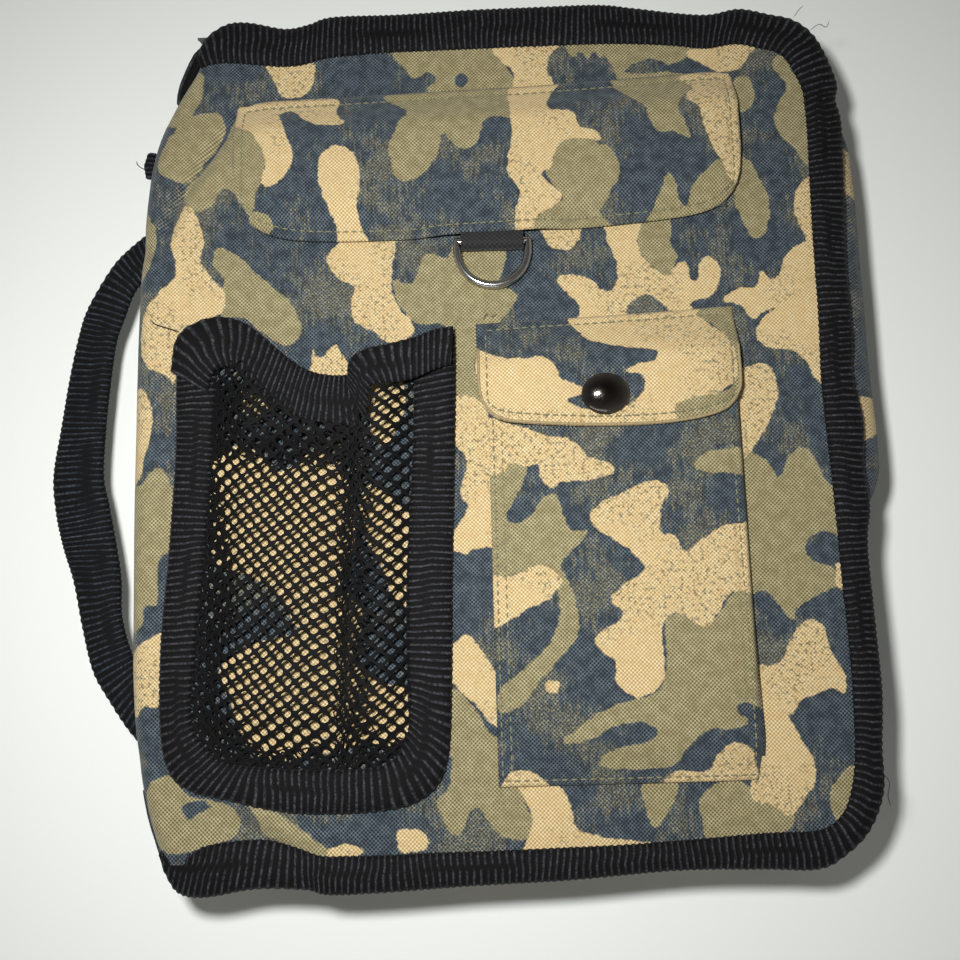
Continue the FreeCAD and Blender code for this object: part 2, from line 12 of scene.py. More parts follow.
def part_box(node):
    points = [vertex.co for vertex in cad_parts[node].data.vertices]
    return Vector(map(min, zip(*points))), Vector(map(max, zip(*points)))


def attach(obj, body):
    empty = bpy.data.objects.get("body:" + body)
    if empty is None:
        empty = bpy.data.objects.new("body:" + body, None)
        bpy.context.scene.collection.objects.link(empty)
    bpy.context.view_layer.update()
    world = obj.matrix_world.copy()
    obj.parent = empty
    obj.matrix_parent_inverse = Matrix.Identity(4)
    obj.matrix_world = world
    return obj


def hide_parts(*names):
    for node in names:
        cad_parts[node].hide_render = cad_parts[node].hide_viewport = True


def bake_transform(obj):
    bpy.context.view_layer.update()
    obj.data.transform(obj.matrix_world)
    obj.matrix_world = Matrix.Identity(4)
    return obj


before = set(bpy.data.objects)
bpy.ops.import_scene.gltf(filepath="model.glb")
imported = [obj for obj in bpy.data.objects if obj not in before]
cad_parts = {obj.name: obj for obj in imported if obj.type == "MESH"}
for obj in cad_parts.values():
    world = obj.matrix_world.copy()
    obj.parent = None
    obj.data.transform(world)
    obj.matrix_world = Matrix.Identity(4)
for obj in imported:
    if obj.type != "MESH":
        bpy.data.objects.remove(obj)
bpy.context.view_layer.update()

MM = 0.001
scene = bpy.context.scene


def node_mm(node):
    """A CAD node's lowest and highest corners in mm."""
    low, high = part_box(node)
    return np.array(low) / MM, np.array(high) / MM


# ---------------------------------------------------------------- curves and fields


def smooth(points, closed=False, parts=6):
    """A smooth line through given points of any dimension."""
    p = np.asarray(points, float)
    if closed:
        ring = np.vstack([p[-1], p, p[0], p[1]])
    else:
        ring = np.vstack([2 * p[0] - p[1], p, 2 * p[-1] - p[-2]])
    t = np.linspace(0, 1, parts, endpoint=False)[:, None]
    runs = []
    for a, b, c, d in zip(ring, ring[1:], ring[2:], ring[3:]):
        runs.append(
            0.5 * (2 * b + (c - a) * t + (2 * a - 5 * b + 4 * c - d) * t**2
                   + (3 * b - a - 3 * c + d) * t**3)
        )
    if not closed:
        runs.append(p[-1:])
    return np.vstack(runs)


def spaced(line, step, measure=2):
    """The line again with even spacing, and how far along it each point is."""
    gaps = np.linalg.norm(np.diff(line[:, :measure], axis=0), axis=1)
    along = np.concatenate([[0], np.cumsum(gaps)])
    count = max(2, int(round(along[-1] / step)) + 1)
    at = np.linspace(0, along[-1], count)
    return np.stack([np.interp(at, along, column) for column in line.T], 1), at


def through(points):
    """A function x -> y that follows given points smoothly."""
    line = smooth(points)
    order = np.argsort(line[:, 0], kind="stable")
    xs, ys = line[order, 0], line[order, 1]
    return lambda x: np.interp(x, xs, ys)


def ease(t):
    """Smoothstep of a value clipped to 0..1."""
    t = np.clip(t, 0, 1)
    return t * t * (3 - 2 * t)


def waves(x, y, seed, size, count=5):
    """Soft, seeded undulation between about -1 and 1 with features of the given size."""
    draw = random.Random(seed)
    total = np.zeros(np.broadcast(x, y).shape)
    for _ in range(count):
        angle = draw.uniform(0, math.tau)
        rate = math.tau / (size * draw.uniform(0.8, 2.2))
        shift = draw.uniform(0, math.tau)
        total = total + np.sin((x * math.cos(angle) + y * math.sin(angle)) * rate + shift)
    return total / count


def run_distance(x, y, start, end):
    """Distance to a straight run, the side it lies on, and the place along it from 0 to 1."""
    a, b = np.array(start, float), np.array(end, float)
    d = b - a
    length = np.linalg.norm(d)
    t = ((x - a[0]) * d[0] + (y - a[1]) * d[1]) / length**2
    side = ((x - a[0]) * d[1] - (y - a[1]) * d[0]) / length
    past = np.maximum(np.abs(t - 0.5) - 0.5, 0) * length
    return np.hypot(side, past), side, np.clip(t, 0, 1)


FAR = 7.0


def inside_by(points, outline):
    """How far each point is inside a closed outline, negative outside, kept within FAR."""
    line = smooth(outline, closed=True, parts=5)
    found = np.full(len(points), -FAR)
    low, high = line.min(0) - FAR, line.max(0) + FAR
    near = np.nonzero(((points > low) & (points < high)).all(1))[0]
    if not len(near):
        return found
    p = points[near]
    best = np.full(len(p), 1e9)
    crossed = np.zeros(len(p), bool)
    for a, b in zip(line, np.roll(line, -1, 0)):
        d = b - a
        t = np.clip(((p - a) @ d) / max(d @ d, 1e-9), 0, 1)[:, None]
        best = np.minimum(best, ((p - a - t * d) ** 2).sum(1))
        level = (a[1] > p[:, 1]) != (b[1] > p[:, 1])
        if level.any():
            rise = b[1] - a[1]
            cut = a[0] + (p[:, 1] - a[1]) * (b[0] - a[0]) / (rise if rise else 1e-9)
            crossed ^= level & (p[:, 0] < cut)
    depth = np.minimum(np.sqrt(best), FAR)
    found[near] = np.where(crossed, depth, -depth)
    return found


def printed(points, patches):
    """The two printed fields of the cloth at its flat points: sand over olive over blue."""
    points = np.asarray(points, float)
    fields = {"sand": np.full(len(points), -FAR), "olive": np.full(len(points), -FAR)}
    for colour, outline in patches:
        if colour == "blue":
            depth = inside_by(points, outline)
            for name in fields:
                fields[name] = np.minimum(fields[name], -depth)
        else:
            fields[colour] = np.maximum(fields[colour], inside_by(points, outline))
    return fields


def fold_into(value, reach):
    """Runs a long coordinate back and forth inside -reach..reach."""
    return np.abs((value + reach) % (4 * reach) - 2 * reach) - reach


PRINT_REACH = (100.0, 118.0)


def elsewhere(u, v, shift=0.0):
    """Flat points for cloth that is cut from another part of the same roll."""
    return np.column_stack([fold_into(np.asarray(u, float) + shift, PRINT_REACH[0]),
                            fold_into(np.asarray(v, float), PRINT_REACH[1])])


# ---------------------------------------------------------------- meshes


def new_piece(name, verts, faces, material, fields=None, closed=True, body=None):
    """A mesh piece from points in mm with per-point fields. It rides on a body if one is given."""
    mesh = bpy.data.meshes.new(name)
    verts = np.asarray(verts, float) * MM
    mesh.from_pydata([tuple(v) for v in verts], [], [tuple(f) for f in faces])
    for field, values in (fields or {}).items():
        values = np.asarray(values, np.float32)
        kind = "FLOAT_VECTOR" if values.ndim == 2 else "FLOAT"
        attribute = mesh.attributes.new(field, kind, "POINT")
        attribute.data.foreach_set("vector" if values.ndim == 2 else "value", values.ravel())
    mesh.polygons.foreach_set("use_smooth", [True] * len(mesh.polygons))
    mesh.materials.append(material)
    mesh.update()
    if closed:
        work = bmesh.new()
        work.from_mesh(mesh)
        bmesh.ops.recalc_face_normals(work, faces=work.faces)
        work.to_mesh(mesh)
        work.free()
    piece = bpy.data.objects.new(name, mesh)
    scene.collection.objects.link(piece)
    if body:
        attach(piece, body)
    return piece


def grid_faces(rows, columns, start=0, flip=False, around=False):
    """Quads over a rows x columns grid of points."""
    faces = []
    for row in range(rows - 1):
        for column in range(columns if around else columns - 1):
            right = (column + 1) % columns
            a = start + row * columns + column
            b = start + row * columns + right
            quad = (a, b, b + columns, a + columns)
            faces.append(quad[::-1] if flip else quad)
    return faces


def tube_faces(rings, sides, start=0):
    """The walls and the two ends of a tube made of point rings."""
    last = start + (rings - 1) * sides
    ends = [tuple(range(start, start + sides))[::-1], tuple(range(last, last + sides))]
    return grid_faces(rings, sides, start, around=True) + ends


def even_grid(low, high, columns, rows):
    """Two coordinates over a rectangle, evenly spaced."""
    return np.meshgrid(np.linspace(low[0], high[0], columns), np.linspace(low[1], high[1], rows))


def flat3(flat):
    """Flat cloth points with a third coordinate of 0."""
    return np.column_stack([flat, np.zeros(len(flat))])


def closed_sheet(name, top, thickness, flat, material, patches=None, facing=(0, 0, 1),
                 print_scale=1.0, print_shift=(0.0, 0.0)):
    """A sheet of cloth with two faces and a rim, from a grid of top points (rows, columns, 3)."""
    rows, columns = top.shape[:2]
    du = np.gradient(top, axis=1)
    dv = np.gradient(top, axis=0)
    normal = np.cross(du, dv)
    normal /= np.maximum(np.linalg.norm(normal, axis=2, keepdims=True), 1e-9)
    normal *= 1 if (normal @ np.asarray(facing, float)).mean() > 0 else -1
    bottom = top - normal * thickness
    verts = np.vstack([top.reshape(-1, 3), bottom.reshape(-1, 3)])
    count = rows * columns
    faces = grid_faces(rows, columns) + grid_faces(rows, columns, count, flip=True)
    ring = [(0, c) for c in range(columns)]
    ring += [(r, columns - 1) for r in range(1, rows)]
    ring += [(rows - 1, c) for c in range(columns - 2, -1, -1)]
    ring += [(r, 0) for r in range(rows - 2, 0, -1)]
    for a, b in zip(ring, ring[1:] + ring[:1]):
        i, j = a[0] * columns + a[1], b[0] * columns + b[1]
        faces.append((i, i + count, j + count, j))
    both = np.vstack([flat, flat])
    fields = {"flat": flat3(both)}
    if patches is not None:
        fields.update(printed(both * print_scale + np.array(print_shift), patches))
    return new_piece(name, verts, faces, material, fields)


def outlined_grid(top_edge, bottom_edge, left, right, step):
    """A grid between two edge curves: rows run from the bottom edge to the top edge."""
    columns = int((right - left) / step) + 1
    x = np.linspace(left, right, columns)
    high, low = top_edge(x), bottom_edge(x)
    rows = int((high.max() - low.min()) / step) + 1
    share = np.linspace(0, 1, rows)[:, None]
    return np.broadcast_to(x, (rows, columns)), low + (high - low) * share


def plan_sheet(name, x, y, z, thickness, material, patches=None, **more):
    """A closed sheet over a grid, whose flat cloth is its plan."""
    flat = np.column_stack([x.ravel(), y.ravel()])
    return closed_sheet(name, np.stack([x, y, z], 2), thickness, flat, material, patches, **more)


def one_way(spots, outward, width=1.0, height=0.0):
    """The first four inputs of sweep for a line whose side faces one way all along."""
    count = len(spots)
    return spots, np.array([outward] * count), np.full(count, width), np.full(count, height)


def ribs(along, share, pitch, seed):
    """Height from 0 to 1 of a tape's cross ribs, which wander, lean and fold a little."""
    wander = 0.35 * np.sin(along / 17 + seed) + 0.2 * np.sin(along / 5.3)
    lean = 0.9 * np.sin(along / 11 + seed * 2) + 0.5 * np.sin(along / 4.3)
    fold = 0.5 * np.sin(along / 13 + seed) * np.tanh(12 * (share + 0.14))
    phase = math.tau * (along + wander + lean * share + fold) / pitch
    return (0.5 + 0.5 * np.cos(phase)) ** 0.8


def sweep(name, base, outward, width, height, profile, material, rib=None, body=None, step=0.5,
          seed=3, patches=None, shift=0.0):
    """A closed tube of the given section along a line. The section is (share of width, mm, mm up),
    and rib is the pitch and the height of its cross ribs."""
    line, along = spaced(np.column_stack([base, outward, width, height]), step)
    base, outward, width, height = line[:, :2], line[:, 2:4], line[:, 4:5], line[:, 5:]
    outward = outward / np.linalg.norm(outward, axis=1, keepdims=True)
    section = np.asarray(profile, float)
    shape = np.column_stack([section[:, 0] * max(width.mean(), 1) + section[:, 1], section[:, 2]])
    tangent = np.roll(shape, -1, 0) - np.roll(shape, 1, 0)
    facing = np.column_stack([tangent[:, 1], -tangent[:, 0]])
    facing /= np.maximum(np.linalg.norm(facing, axis=1, keepdims=True), 1e-9)
    area = np.sum(shape[:, 0] * np.roll(shape[:, 1], -1) - np.roll(shape[:, 0], -1) * shape[:, 1])
    facing *= 1 if area > 0 else -1
    rings, count = len(line), len(section)
    ridge, out = np.zeros((rings, count)), 0.0
    if rib:
        share = shape[:, 0] / max(shape[:, 0].max(), 1e-6) - 0.5
        ridge = ribs(along[:, None], share, rib[0], seed)
        out = ridge * rib[1]
    across = section[:, 0] * width + section[:, 1] + facing[:, 0] * out
    up = height + section[:, 2] + facing[:, 1] * out
    spots = base[:, None] + outward[:, None] * across[..., None]
    verts = np.concatenate([spots, up[..., None]], 2).reshape(-1, 3)
    run = np.concatenate([[0], np.cumsum(np.linalg.norm(np.diff(shape, axis=0), axis=1))])
    flat = np.column_stack([np.repeat(along, count), np.tile(run, rings)])
    # crest is the ribs' height, which also places the tapes' painted rib highlights
    fields = {"crest": ridge.ravel(), "flat": flat3(flat)}
    if patches is not None:
        fields.update(printed(elsewhere(flat[:, 0], flat[:, 1], shift), patches))
    return new_piece(name, verts, tube_faces(rings, count), material, fields, body=body)


def paired(stations, parts=8):
    """Smooth (inner, outer) edge pairs -> base, outward direction, width."""
    s = smooth([(ix, iy, ox, oy) for (ox, oy), (ix, iy) in stations], parts=parts)
    base, across = s[:, :2], s[:, 2:] - s[:, :2]
    width = np.linalg.norm(across, axis=1)
    return base, across / width[:, None], width


STITCH, STITCH_GAP, STITCH_SIDES = 2.0, 0.8, 6
# along a stitch: share of its length, share of its thickness, and rise in mm
STITCH_SHAPE = ((0, 0.45, -0.3), (0.18, 1, 0.05), (0.5, 1.1, 0.12), (0.82, 1, 0.05),
                (1, 0.45, -0.3))


def bars(name, paths, material, radius=0.21, lift=0.08, body=None):
    """Rows of short stitches that lie on the cloth along 3-D paths."""
    verts, faces = [], []
    turns = np.arange(STITCH_SIDES)[:, None] * math.tau / STITCH_SIDES
    for path in paths:
        line, along = spaced(np.asarray(path, float), 0.25, measure=3)
        start = 0.4
        while start + STITCH < along[-1]:
            first, last = (np.array([np.interp(s, along, column) for column in line.T])
                           for s in (start, start + STITCH))
            run = (last - first) / np.linalg.norm(last - first)
            side = np.cross(run, (0, 0, 1))
            side /= max(np.linalg.norm(side), 1e-9)
            up = np.cross(side, run)
            ring = (side * np.cos(turns) * 1.15 + up * np.sin(turns)) * radius
            faces += tube_faces(len(STITCH_SHAPE), STITCH_SIDES, len(verts))
            for share, size, rise in STITCH_SHAPE:
                verts += list(first + (last - first) * share + up * (lift + rise) + ring * size)
            start += STITCH + STITCH_GAP
    return new_piece(name, verts, faces, material, body=body)


def tube(name, points, radius, material, body=None, step=0.5, taper=True):
    """A thin round thread or wire along given points."""
    line, along = spaced(smooth(points, parts=10), step, measure=3)
    run = np.gradient(line, axis=0)
    run /= np.linalg.norm(run, axis=1, keepdims=True)
    side = np.cross(run, (0.31, 0.17, 0.93))
    side /= np.linalg.norm(side, axis=1, keepdims=True)
    up = np.cross(run, side)
    sides = 6
    turn = np.arange(sides) * math.tau / sides
    ring = np.cos(turn)[None, :, None] * side[:, None] + np.sin(turn)[None, :, None] * up[:, None]
    size = np.full(len(line), radius)
    if taper:
        size *= 0.35 + 0.65 * np.minimum(1, np.minimum(along, along[-1] - along) / 1.5 + 0.1)
    verts = (line[:, None] + ring * size[:, None, None]).reshape(-1, 3)
    return new_piece(name, verts, tube_faces(len(line), sides), material, body=body)


# ---------------------------------------------------------------- materials


def srgb(*levels, share=0.78):
    """Linear colour from 0-255 levels seen under a light that is brighter than paper white."""
    out = []
    for level in levels:
        c = level / 255
        out.append(c / 12.92 if c <= 0.04045 else ((c + 0.055) / 1.055) ** 2.4)
    return (*(share * value for value in out), 1.0)


class Nodes:
    """Short calls for building one material's nodes."""

    def __init__(self, name):
        self.material = bpy.data.materials.new(name)
        self.material.use_nodes = True
        self.tree = self.material.node_tree
        self.tree.nodes.clear()
        self.shader = self.add("ShaderNodeBsdfPrincipled")
        self.output = self.add("ShaderNodeOutputMaterial")
        self.link(self.shader.outputs[0], self.output.inputs[0])

    def add(self, kind, **settings):
        """A node with some of its properties set."""
        node = self.tree.nodes.new(kind)
        for key, value in settings.items():
            setattr(node, key, value)
        return node

    def link(self, a, b):
        self.tree.links.new(a, b)

    def put(self, socket, value):
        """Links a socket to an output, or gives it a plain value."""
        if hasattr(value, "is_linked") or hasattr(value, "links"):
            self.link(value, socket)
        else:
            socket.default_value = value

    def field(self, name, output="Fac"):
        """A per-point field of the mesh."""
        return self.add("ShaderNodeAttribute", attribute_name=name).outputs[output]

    def maths(self, operation, *values, clamp=False):
        node = self.add("ShaderNodeMath", operation=operation, use_clamp=clamp)
        for socket, value in zip(node.inputs, values):
            self.put(socket, value)
        return node.outputs[0]

    def noise(self, vector, scale, detail=2.0, rough=0.5):
        node = self.add("ShaderNodeTexNoise")
        self.link(vector, node.inputs["Vector"])
        node.inputs["Scale"].default_value = scale
        node.inputs["Detail"].default_value = detail
        node.inputs["Roughness"].default_value = rough
        return node.outputs["Fac"]

    def step(self, value, low, high):
        """0 below low, 1 above high, smooth between."""
        node = self.add("ShaderNodeMapRange", interpolation_type="SMOOTHSTEP")
        self.put(node.inputs[0], value)
        node.inputs[1].default_value = low
        node.inputs[2].default_value = high
        return node.outputs[0]

    def mix(self, share, a, b):
        """Colour a where the share is 0, colour b where it is 1."""
        node = self.add("ShaderNodeMix", data_type="RGBA")
        self.put(node.inputs[0], share)
        self.put(node.inputs[6], a)
        self.put(node.inputs[7], b)
        return node.outputs[2]

    def bump(self, height, strength, distance):
        node = self.add("ShaderNodeBump")
        self.link(height, node.inputs["Height"])
        node.inputs["Strength"].default_value = strength
        node.inputs["Distance"].default_value = distance
        self.link(node.outputs[0], self.shader.inputs["Normal"])

    def split(self, vector):
        """The three parts of a vector."""
        node = self.add("ShaderNodeSeparateXYZ")
        self.link(vector, node.inputs[0])
        return node.outputs

    def done(self, **sockets):
        """Sets the shader's sockets by short name and returns the material."""
        names = {"colour": "Base Color", "rough": "Roughness", "metal": "Metallic",
                 "sheen": "Sheen Weight", "sheen_rough": "Sheen Roughness",
                 "specular": "Specular IOR Level"}
        for key, value in sockets.items():
            self.put(self.shader.inputs[names[key]], value)
        return self.material


THREAD = 0.6


def weave_of(nodes, flat, pitch=THREAD):
    """A plain weave as a value from 0 in the gaps to 1 on the threads."""
    x, y = nodes.split(flat)[:2]
    a = nodes.maths("SINE", nodes.maths("MULTIPLY", x, math.pi / pitch))
    b = nodes.maths("SINE", nodes.maths("MULTIPLY", y, math.pi / pitch))
    both = nodes.maths("MULTIPLY", a, b)
    return nodes.maths("MULTIPLY_ADD", both, 0.5, 0.5)


# each print colour: its threads, a second tone of them, and the gaps between them, darker as painted
# shade
SAND = (srgb(232, 208, 154), srgb(240, 224, 176), srgb(182, 148, 98))
OLIVE = (srgb(166, 155, 114), srgb(196, 185, 142), srgb(98, 90, 60))
BLUE = (srgb(64, 77, 88), srgb(102, 116, 124), srgb(15, 20, 25))


def printed_cloth(name):
    """Coarse plain-woven polyester with a worn three-colour print, and painted shade in the gaps of
    its weave.
    """
    n = Nodes(name)
    flat = n.field("flat", "Vector")
    weave = n.step(weave_of(n, flat), 0.2, 0.75)
    ragged = n.maths("ADD", n.noise(flat, 0.6, 3.0, 0.7), n.noise(flat, 0.2, 1.0))
    fine = n.noise(flat, 0.75, 4.0, 0.75)
    broad = n.noise(flat, 0.045, 2.0)
    brushed = n.add("ShaderNodeMapping")
    n.link(flat, brushed.inputs["Vector"])
    brushed.inputs["Scale"].default_value = (0.9, 0.16, 1)
    streak = n.noise(brushed.outputs[0], 1.0, 3.0, 0.7)
    wander = n.maths("MULTIPLY_ADD", ragged, 1.7, -1.7)
    sand = n.step(n.maths("ADD", n.field("sand"), wander), -0.3, 0.3)
    olive = n.step(n.maths("ADD", n.field("olive"), wander), -0.3, 0.3)
    zone = n.step(n.maths("ADD", broad, n.noise(flat, 0.02, 1.0)), 0.88, 1.06)
    specks = n.step(fine, 0.51, 0.6)
    worn = n.maths("MULTIPLY", specks, n.maths("MULTIPLY_ADD", zone, 0.72, 0.14))
    flecks = n.step(n.noise(flat, 1.4, 2.0, 0.7), 0.47, 0.6)
    scuffed = n.step(n.maths("ADD", n.maths("MULTIPLY", streak, 0.7), broad), 0.86, 0.95)
    scuffed = n.maths("MULTIPLY", scuffed, n.maths("MULTIPLY_ADD", flecks, 0.5, 0.12))
    tone = n.step(n.noise(flat, 0.3, 3.0, 0.6), 0.3, 0.7)

    def mixed(blue_part, olive_part, sand_part):
        """The print's colour where the base and both patches have these colours."""
        base = n.mix(scuffed, blue_part, olive_part)
        base = n.mix(olive, base, olive_part)
        return n.mix(sand, base, n.mix(worn, sand_part, n.mix(0.4, olive_part, blue_part)))

    threads = mixed(*(n.mix(tone, part[0], part[1]) for part in (BLUE, OLIVE, SAND)))
    gaps = mixed(BLUE[2], OLIVE[2], SAND[2])
    # painted light of the weave: the threads' colour on the threads, painted shade in the gaps
    # between them
    lit = n.maths("MULTIPLY", weave, n.maths("MULTIPLY_ADD", n.noise(flat, 2.4, 1.0), 1.3, 0.35),
                  clamp=True)
    n.bump(weave, 0.55, 0.0003)
    return n.done(colour=n.mix(lit, gaps, threads), rough=0.78, sheen=0.1, sheen_rough=0.5,
                  specular=0.25)


def ribbed_tape(name, dark=(3, 3, 4), light=(74, 75, 80)):
    """Black grosgrain: dark between its ribs as painted shade, with a painted highlight along its rib
    crests.
    """
    n = Nodes(name)
    flat = n.field("flat", "Vector")
    crest = n.field("crest")
    # noise that breaks the painted highlight on the crests into spots and dusty patches
    dust_and_glint = n.step(n.noise(flat, 1.3, 3.0, 0.7), 0.3, 0.75)
    threads = n.noise(flat, 6.0, 1.0)
    patchy = n.step(n.noise(flat, 0.3, 3.0, 0.7), 0.35, 0.65)
    # the painted highlight along the rib crests
    lit = n.maths("MULTIPLY", n.step(crest, 0.62, 1.0), n.maths("MULTIPLY", dust_and_glint, 1.3))
    lit = n.maths("MULTIPLY", lit, n.maths("MULTIPLY_ADD", patchy, 0.8, 0.45))
    colour = n.mix(lit, srgb(*dark), srgb(*light))
    n.bump(threads, 0.5, 0.00018)
    return n.done(colour=colour, rough=0.75, sheen=0.04, sheen_rough=0.45, specular=0.16)


def woven(name, dark, light, pitch, rough=0.7, sheen=0.15, depth=0.0002):
    """A plain one-colour weave on a piece with flat coordinates: painted shade in its gaps, a painted
    highlight on its threads.
    """
    n = Nodes(name)
    flat = n.field("flat", "Vector")
    weave = weave_of(n, flat, pitch)
    worn = n.noise(flat, 0.35, 3.0, 0.6)
    # the painted highlight on the threads, varied by noise
    lit = n.maths("MULTIPLY", weave, n.maths("MULTIPLY_ADD", worn, 0.9, 0.3))
    colour = n.mix(lit, srgb(*dark), srgb(*light))
    n.bump(weave, 0.5, depth)
    return n.done(colour=colour, rough=rough, sheen=sheen, sheen_rough=0.5, specular=0.3)


def thread(name, dark, light, rough=0.7, sheen=0.1, specular=0.3):
    """Spun thread, mottled along its length."""
    n = Nodes(name)
    place = n.add("ShaderNodeTexCoord").outputs["Object"]
    mottle = n.noise(place, 2200.0, 2.0)
    colour = n.mix(mottle, srgb(*dark), srgb(*light))
    n.bump(mottle, 0.4, 0.0001)
    return n.done(colour=colour, rough=rough, sheen=sheen, sheen_rough=0.5, specular=specular)


def metal(name, dark, light, rough, scratch=0.06, dent=0.08):
    """Plated metal with faint scuffs."""
    n = Nodes(name)
    place = n.add("ShaderNodeTexCoord").outputs["Object"]
    scuff = n.noise(place, 700.0, 4.0, 0.7)
    broad = n.noise(place, 160.0, 2.0)
    colour = n.mix(broad, srgb(*dark), srgb(*light))
    rough_out = n.maths("MULTIPLY_ADD", scuff, scratch * 2, rough - scratch)
    n.bump(scuff, dent, 0.0001)
    return n.done(colour=colour, metal=1.0, rough=rough_out)


CAMO = printed_cloth("camouflage_cloth")
# the tapes' lighter colour is a painted highlight on their rib crests; the woven pieces' darker
# colour is painted shade in their weave's gaps
TAPE = ribbed_tape("black_tape")
WEBBING = ribbed_tape("black_webbing", (5, 6, 8), (70, 77, 86))
LINING = woven("black_lining", (9, 9, 10), (34, 34, 37), 0.5)
ZIP_TAPE = woven("zip_tape", (9, 9, 10), (40, 40, 42), 0.7)
NET = thread("net_thread", (3, 3, 4), (17, 17, 19), 0.72, sheen=0.02, specular=0.12)
COIL = thread("zip_coil", (14, 14, 15), (40, 40, 43), 0.4)
BLACK_THREAD = thread("black_thread", (10, 10, 11), (38, 38, 40))
GREEN_THREAD = thread("green_thread", (100, 97, 70), (156, 152, 116))
HEM = thread("hem_cloth", (98, 88, 62), (200, 176, 130))
LOOPS = woven("loop_pile", (10, 10, 11), (40, 40, 42), 0.9, 0.95, 0.6, 0.0005)
NICKEL = metal("nickel", (196, 194, 188), (232, 230, 224), 0.16)
GUNMETAL = metal("gunmetal", (62, 58, 55), (128, 122, 114), 0.13, dent=0.5)
BLACK_METAL = metal("black_metal", (22, 22, 23), (38, 38, 40), 0.38)
